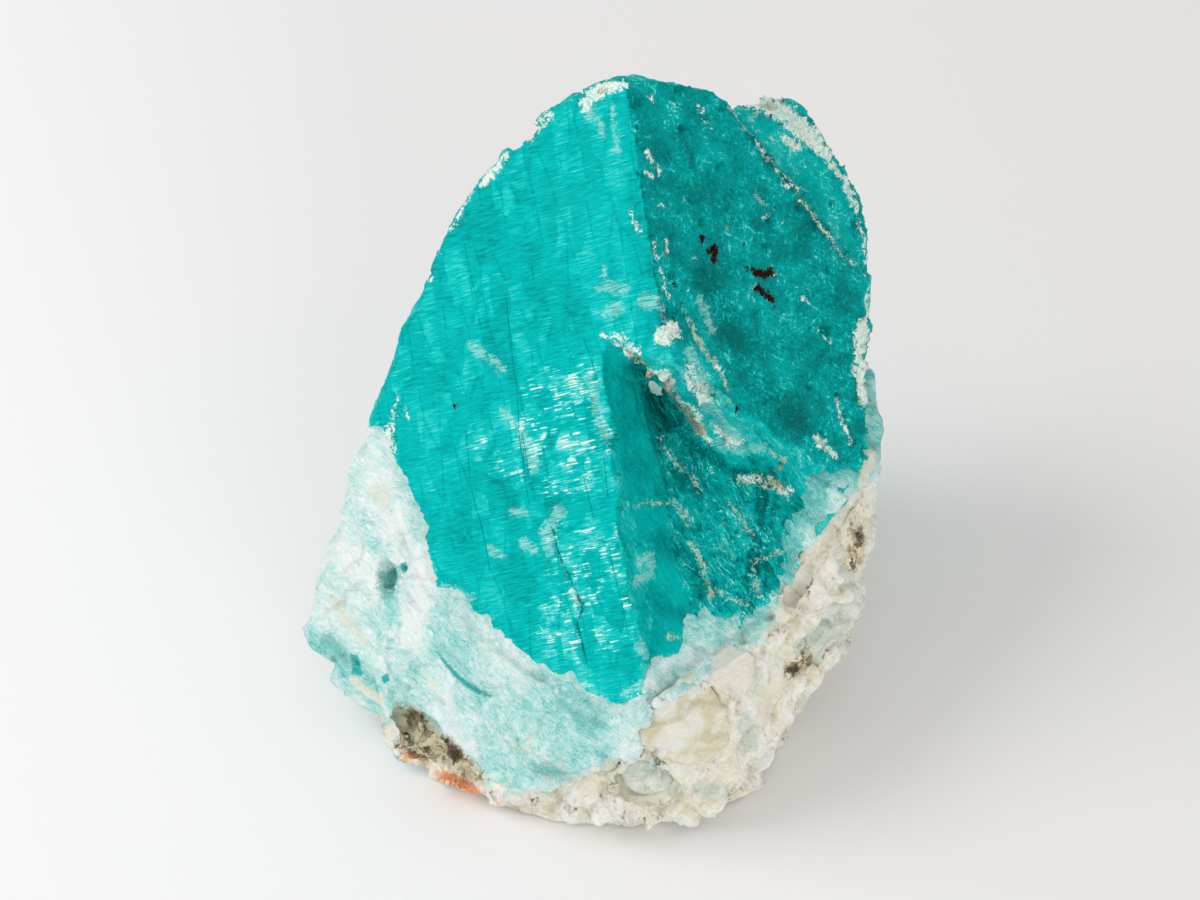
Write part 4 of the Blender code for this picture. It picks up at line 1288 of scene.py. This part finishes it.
MATRIX_FIELDS = {
    "turquoise": [
        ([(353, 658), (358, 672)], 0.34),
        ([(385, 679)], 0.26),
        ([(756, 655), (759, 670), (754, 690)], 0.07),
        ([(404, 568)], 0.16),
    ],
    "haze": [
        ([(394, 570), (390, 584), (386, 596)], [0.4, 0.6, 0.4]),
        ([(538, 768), (560, 772)], 0.5),
        ([(560, 700), (580, 720), (600, 725)], 0.3),
        ([(330, 640), (345, 660)], 0.6),
        ([(392, 690), (396, 710)], 0.3),
        ([(782, 470), (796, 500), (790, 520)], 0.25),
    ],
    "band": [
        ([(337, 600), (350, 620), (363, 640)], 0.5),
        ([(376, 490), (386, 500)], 0.6),
        ([(519, 746), (531, 748)], 0.25),
        ([(434, 684)], 0.2),
    ],
    "cream": [
        ([(357, 684), (370, 694), (380, 700)], 0.5),
        ([(374, 716), (386, 730)], 0.5),
        ([(590, 790), (620, 780), (640, 800), (690, 800), (730, 770), (760, 720), (775, 690)], 0.9),
        ([(800, 600), (822, 560), (845, 510)], 0.5),
        ([(866, 400), (872, 430), (878, 460), (868, 480)], 0.8),
        ([(690, 770), (720, 750), (734, 720), (740, 700)], 0.4),
        ([(770, 640), (790, 600)], 0.4),
    ],
    "green": [
        ([(700, 790), (735, 798)], 0.6),
        ([(745, 720), (752, 745)], 0.7),
        ([(806, 646), (830, 620), (856, 606)], 0.8),
        ([(846, 560), (852, 590)], 0.5),
        ([(655, 785), (680, 790)], 0.5),
        ([(404, 720), (414, 740)], 0.5),
    ],
    "block": [([(728, 664), (738, 672), (736, 682)], [0.9, 1.1, 0.8])],
    "brown": [
        ([(404, 740), (418, 738), (430, 744)], [0.4, 0.7, 0.6]),
        ([(440, 742), (456, 752), (470, 768)], 0.4),
        ([(788, 672), (800, 666), (815, 660), (827, 644)], [0.3, 0.5, 0.5, 0.4]),
        ([(858, 530), (856, 550), (852, 565)], 0.5),
        ([(790, 618), (795, 604)], 0.15),
        ([(490, 788), (500, 800)], 0.2),
        ([(560, 802), (562, 812)], 0.15),
        ([(530, 800), (536, 806)], 0.15),
        ([(698, 706), (704, 716)], 0.1),
    ],
    "tan": [
        ([(398, 750), (412, 770), (440, 784), (470, 790)], 0.5),
        ([(760, 790), (700, 808)], 0.15),
        ([(806, 680), (818, 672)], 0.4),
    ],
    "orange": [
        ([(400, 757), (408, 766)], 0.18),
        ([(440, 778), (452, 782), (464, 787), (476, 792)], [0.3, 0.4, 0.35, 0.2]),
        ([(498, 806)], 0.2),
        ([(803, 616), (808, 608)], 0.1),
    ],
    # dark: partly painted shade in the lower left cavity and the pit's hole, partly dark spots
    "dark": [
        ([(444, 742), (452, 750), (457, 756)], [0.25, 0.35, 0.25]),
        ([(420, 716), (424, 730)], 0.12),
        ([(404, 568)], 0.08),
        ([(790, 674), (796, 668)], 0.25),
        ([(863, 536), (860, 545)], 0.22),
        ([(805, 583), (806, 590)], 0.14),
        ([(828, 640)], 0.16),
        ([(815, 656)], 0.1),
        ([(411, 756), (420, 750)], 0.12),
    ],
    "dots": [
        ([(748, 665)], 0.07), ([(744, 652)], 0.05), ([(733, 672)], 0.05), ([(720, 690)], 0.05), ([(728, 648)], 0.08),
        ([(732, 668)], 0.04), ([(760, 730)], 0.05), ([(738, 740)], 0.06), ([(655, 730)], 0.04), ([(772, 768)], 0.05),
        ([(444, 652)], 0.06), ([(540, 738)], 0.06), ([(498, 716)], 0.05), ([(470, 648)], 0.05), ([(862, 425)], 0.07),
        ([(658, 700)], 0.05), ([(614, 798), (622, 800)], 0.05), ([(734, 645), (742, 650), (752, 656)], 0.05),
    ],
}
MATRIX_TONES = [
    ([(385, 490), (395, 540), (418, 590), (415, 640)], 1.2, 0.22),
    ([(372, 440), (376, 470)], 0.6, 0.1),
    ([(350, 560), (360, 590)], 1.6, 0.16),
    ([(340, 620), (365, 640), (390, 650)], 1.2, 0.12),
    ([(375, 545), (390, 556)], 0.6, -0.2),
    ([(320, 640), (340, 665), (365, 690)], 0.9, -0.2),
    ([(440, 640), (480, 690), (540, 730), (600, 740)], 1.6, -0.10),
    ([(480, 660), (520, 700), (560, 720)], 1.0, -0.05),
    ([(826, 480), (850, 476), (870, 476)], 0.8, -0.24),
    ([(790, 560), (800, 530), (820, 510)], 0.9, -0.20),
    ([(560, 690), (600, 710), (640, 712)], 0.6, -0.05),
    ([(480, 740), (520, 760), (560, 770)], 0.6, -0.1),
    ([(420, 720), (430, 740)], 0.8, -0.2),
    ([(600, 810), (660, 800)], 0.9, 0.12),
    ([(500, 800), (560, 812), (620, 815)], 0.9, 0.16),
    ([(740, 770), (765, 740)], 0.7, 0.18),
    ([(790, 540), (840, 490)], 0.7, 0.12),
    ([(700, 660), (760, 620)], 0.6, -0.02),
]

skin = whole_skin()
skin_tree = tree_of(skin)
spotter = Spotter(skin_tree)
crystal_tree = tree_of(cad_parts["amazonite_crystal"].data)
matrix_tree = tree_of(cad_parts["feldspar_matrix"].data)
quartz_tree = tree_of(*(node.data for name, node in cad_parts.items() if name.startswith("quartz")))

dress(shape_crystal(), "amazonite_crystal", amazonite())
dress(shape_matrix(), "feldspar_matrix", feldspar())
YELLOW = quartz("quartz_yellow", [(0.36, (224, 216, 182)), (0.5, (238, 234, 210)), (0.64, (253, 252, 244))])
GREEN = quartz("quartz_green", [(0.34, (156, 182, 160)), (0.5, (212, 224, 206)), (0.64, (250, 252, 244))])
for number, (node, shader) in enumerate(
    (("quartz_grain_front", YELLOW), ("quartz_grain_low", GREEN), ("quartz_grain_right", GREEN))
):
    dress(shape_quartz(node, 50 + 10 * number), node, shader)


# The studio


def add_studio():
    scene = bpy.context.scene
    mesh = bpy.data.meshes.new("floor")
    size = 3.0
    corners = [(-size, -size, 0), (size, -size, 0), (size, size, 0), (-size, size, 0)]
    mesh.from_pydata(corners, [], [(0, 1, 2, 3)])
    floor = bpy.data.objects.new("floor", mesh)
    floor.location.z = -0.00005
    scene.collection.objects.link(floor)
    s = Shader("paper")
    # the backdrop darkens to the right, as in the photograph
    # painted shade: the fall-off of light towards the right is painted into the paper's colour
    shade = s.step(s.vector("DOT_PRODUCT", s.p, (0.8, 0.3, 0.0)), -60.0, 50.0)
    s.feed(s.surface.inputs["Base Color"], s.ramp(shade, [(0.0, (253, 253, 254)), (1.0, (240, 238, 237))]))
    s.surface.inputs["Roughness"].default_value = 0.9
    s.surface.inputs["Specular IOR Level"].default_value = 0.1
    mesh.materials.append(s.material)

    world = bpy.data.worlds.new("world")
    world.use_nodes = True
    world.node_tree.nodes["Background"].inputs["Color"].default_value = (1.0, 0.995, 0.99, 1.0)
    world.node_tree.nodes["Background"].inputs["Strength"].default_value = 0.65
    scene.world = world

    def area(name, location, size, power):
        data = bpy.data.lights.new(name, "AREA")
        data.shape = "DISK"
        data.size = size
        data.energy = power
        light = bpy.data.objects.new(name, data)
        light.location = location
        way = Vector((0, 0, 0.02)) - Vector(location)
        light.rotation_euler = way.to_track_quat("-Z", "Y").to_euler()
        scene.collection.objects.link(light)

    area("key", (-0.385, 0.01, 0.40), 0.34, 1.08)
    area("fill", (0.186, -0.558, 0.14), 0.40, 1.0)

    data = bpy.data.cameras.new("camera")
    data.lens = LENS
    data.sensor_width = SENSOR
    data.clip_start = 0.005
    camera = bpy.data.objects.new("camera", data)
    camera.location = Vector(EYE * MM)
    camera.rotation_euler = Vector(-TO_EYE).to_track_quat("-Z", "Y").to_euler()
    scene.collection.objects.link(camera)
    scene.camera = camera
    scene.view_settings.view_transform = "Standard"
    scene.view_settings.look = "None"


add_studio()
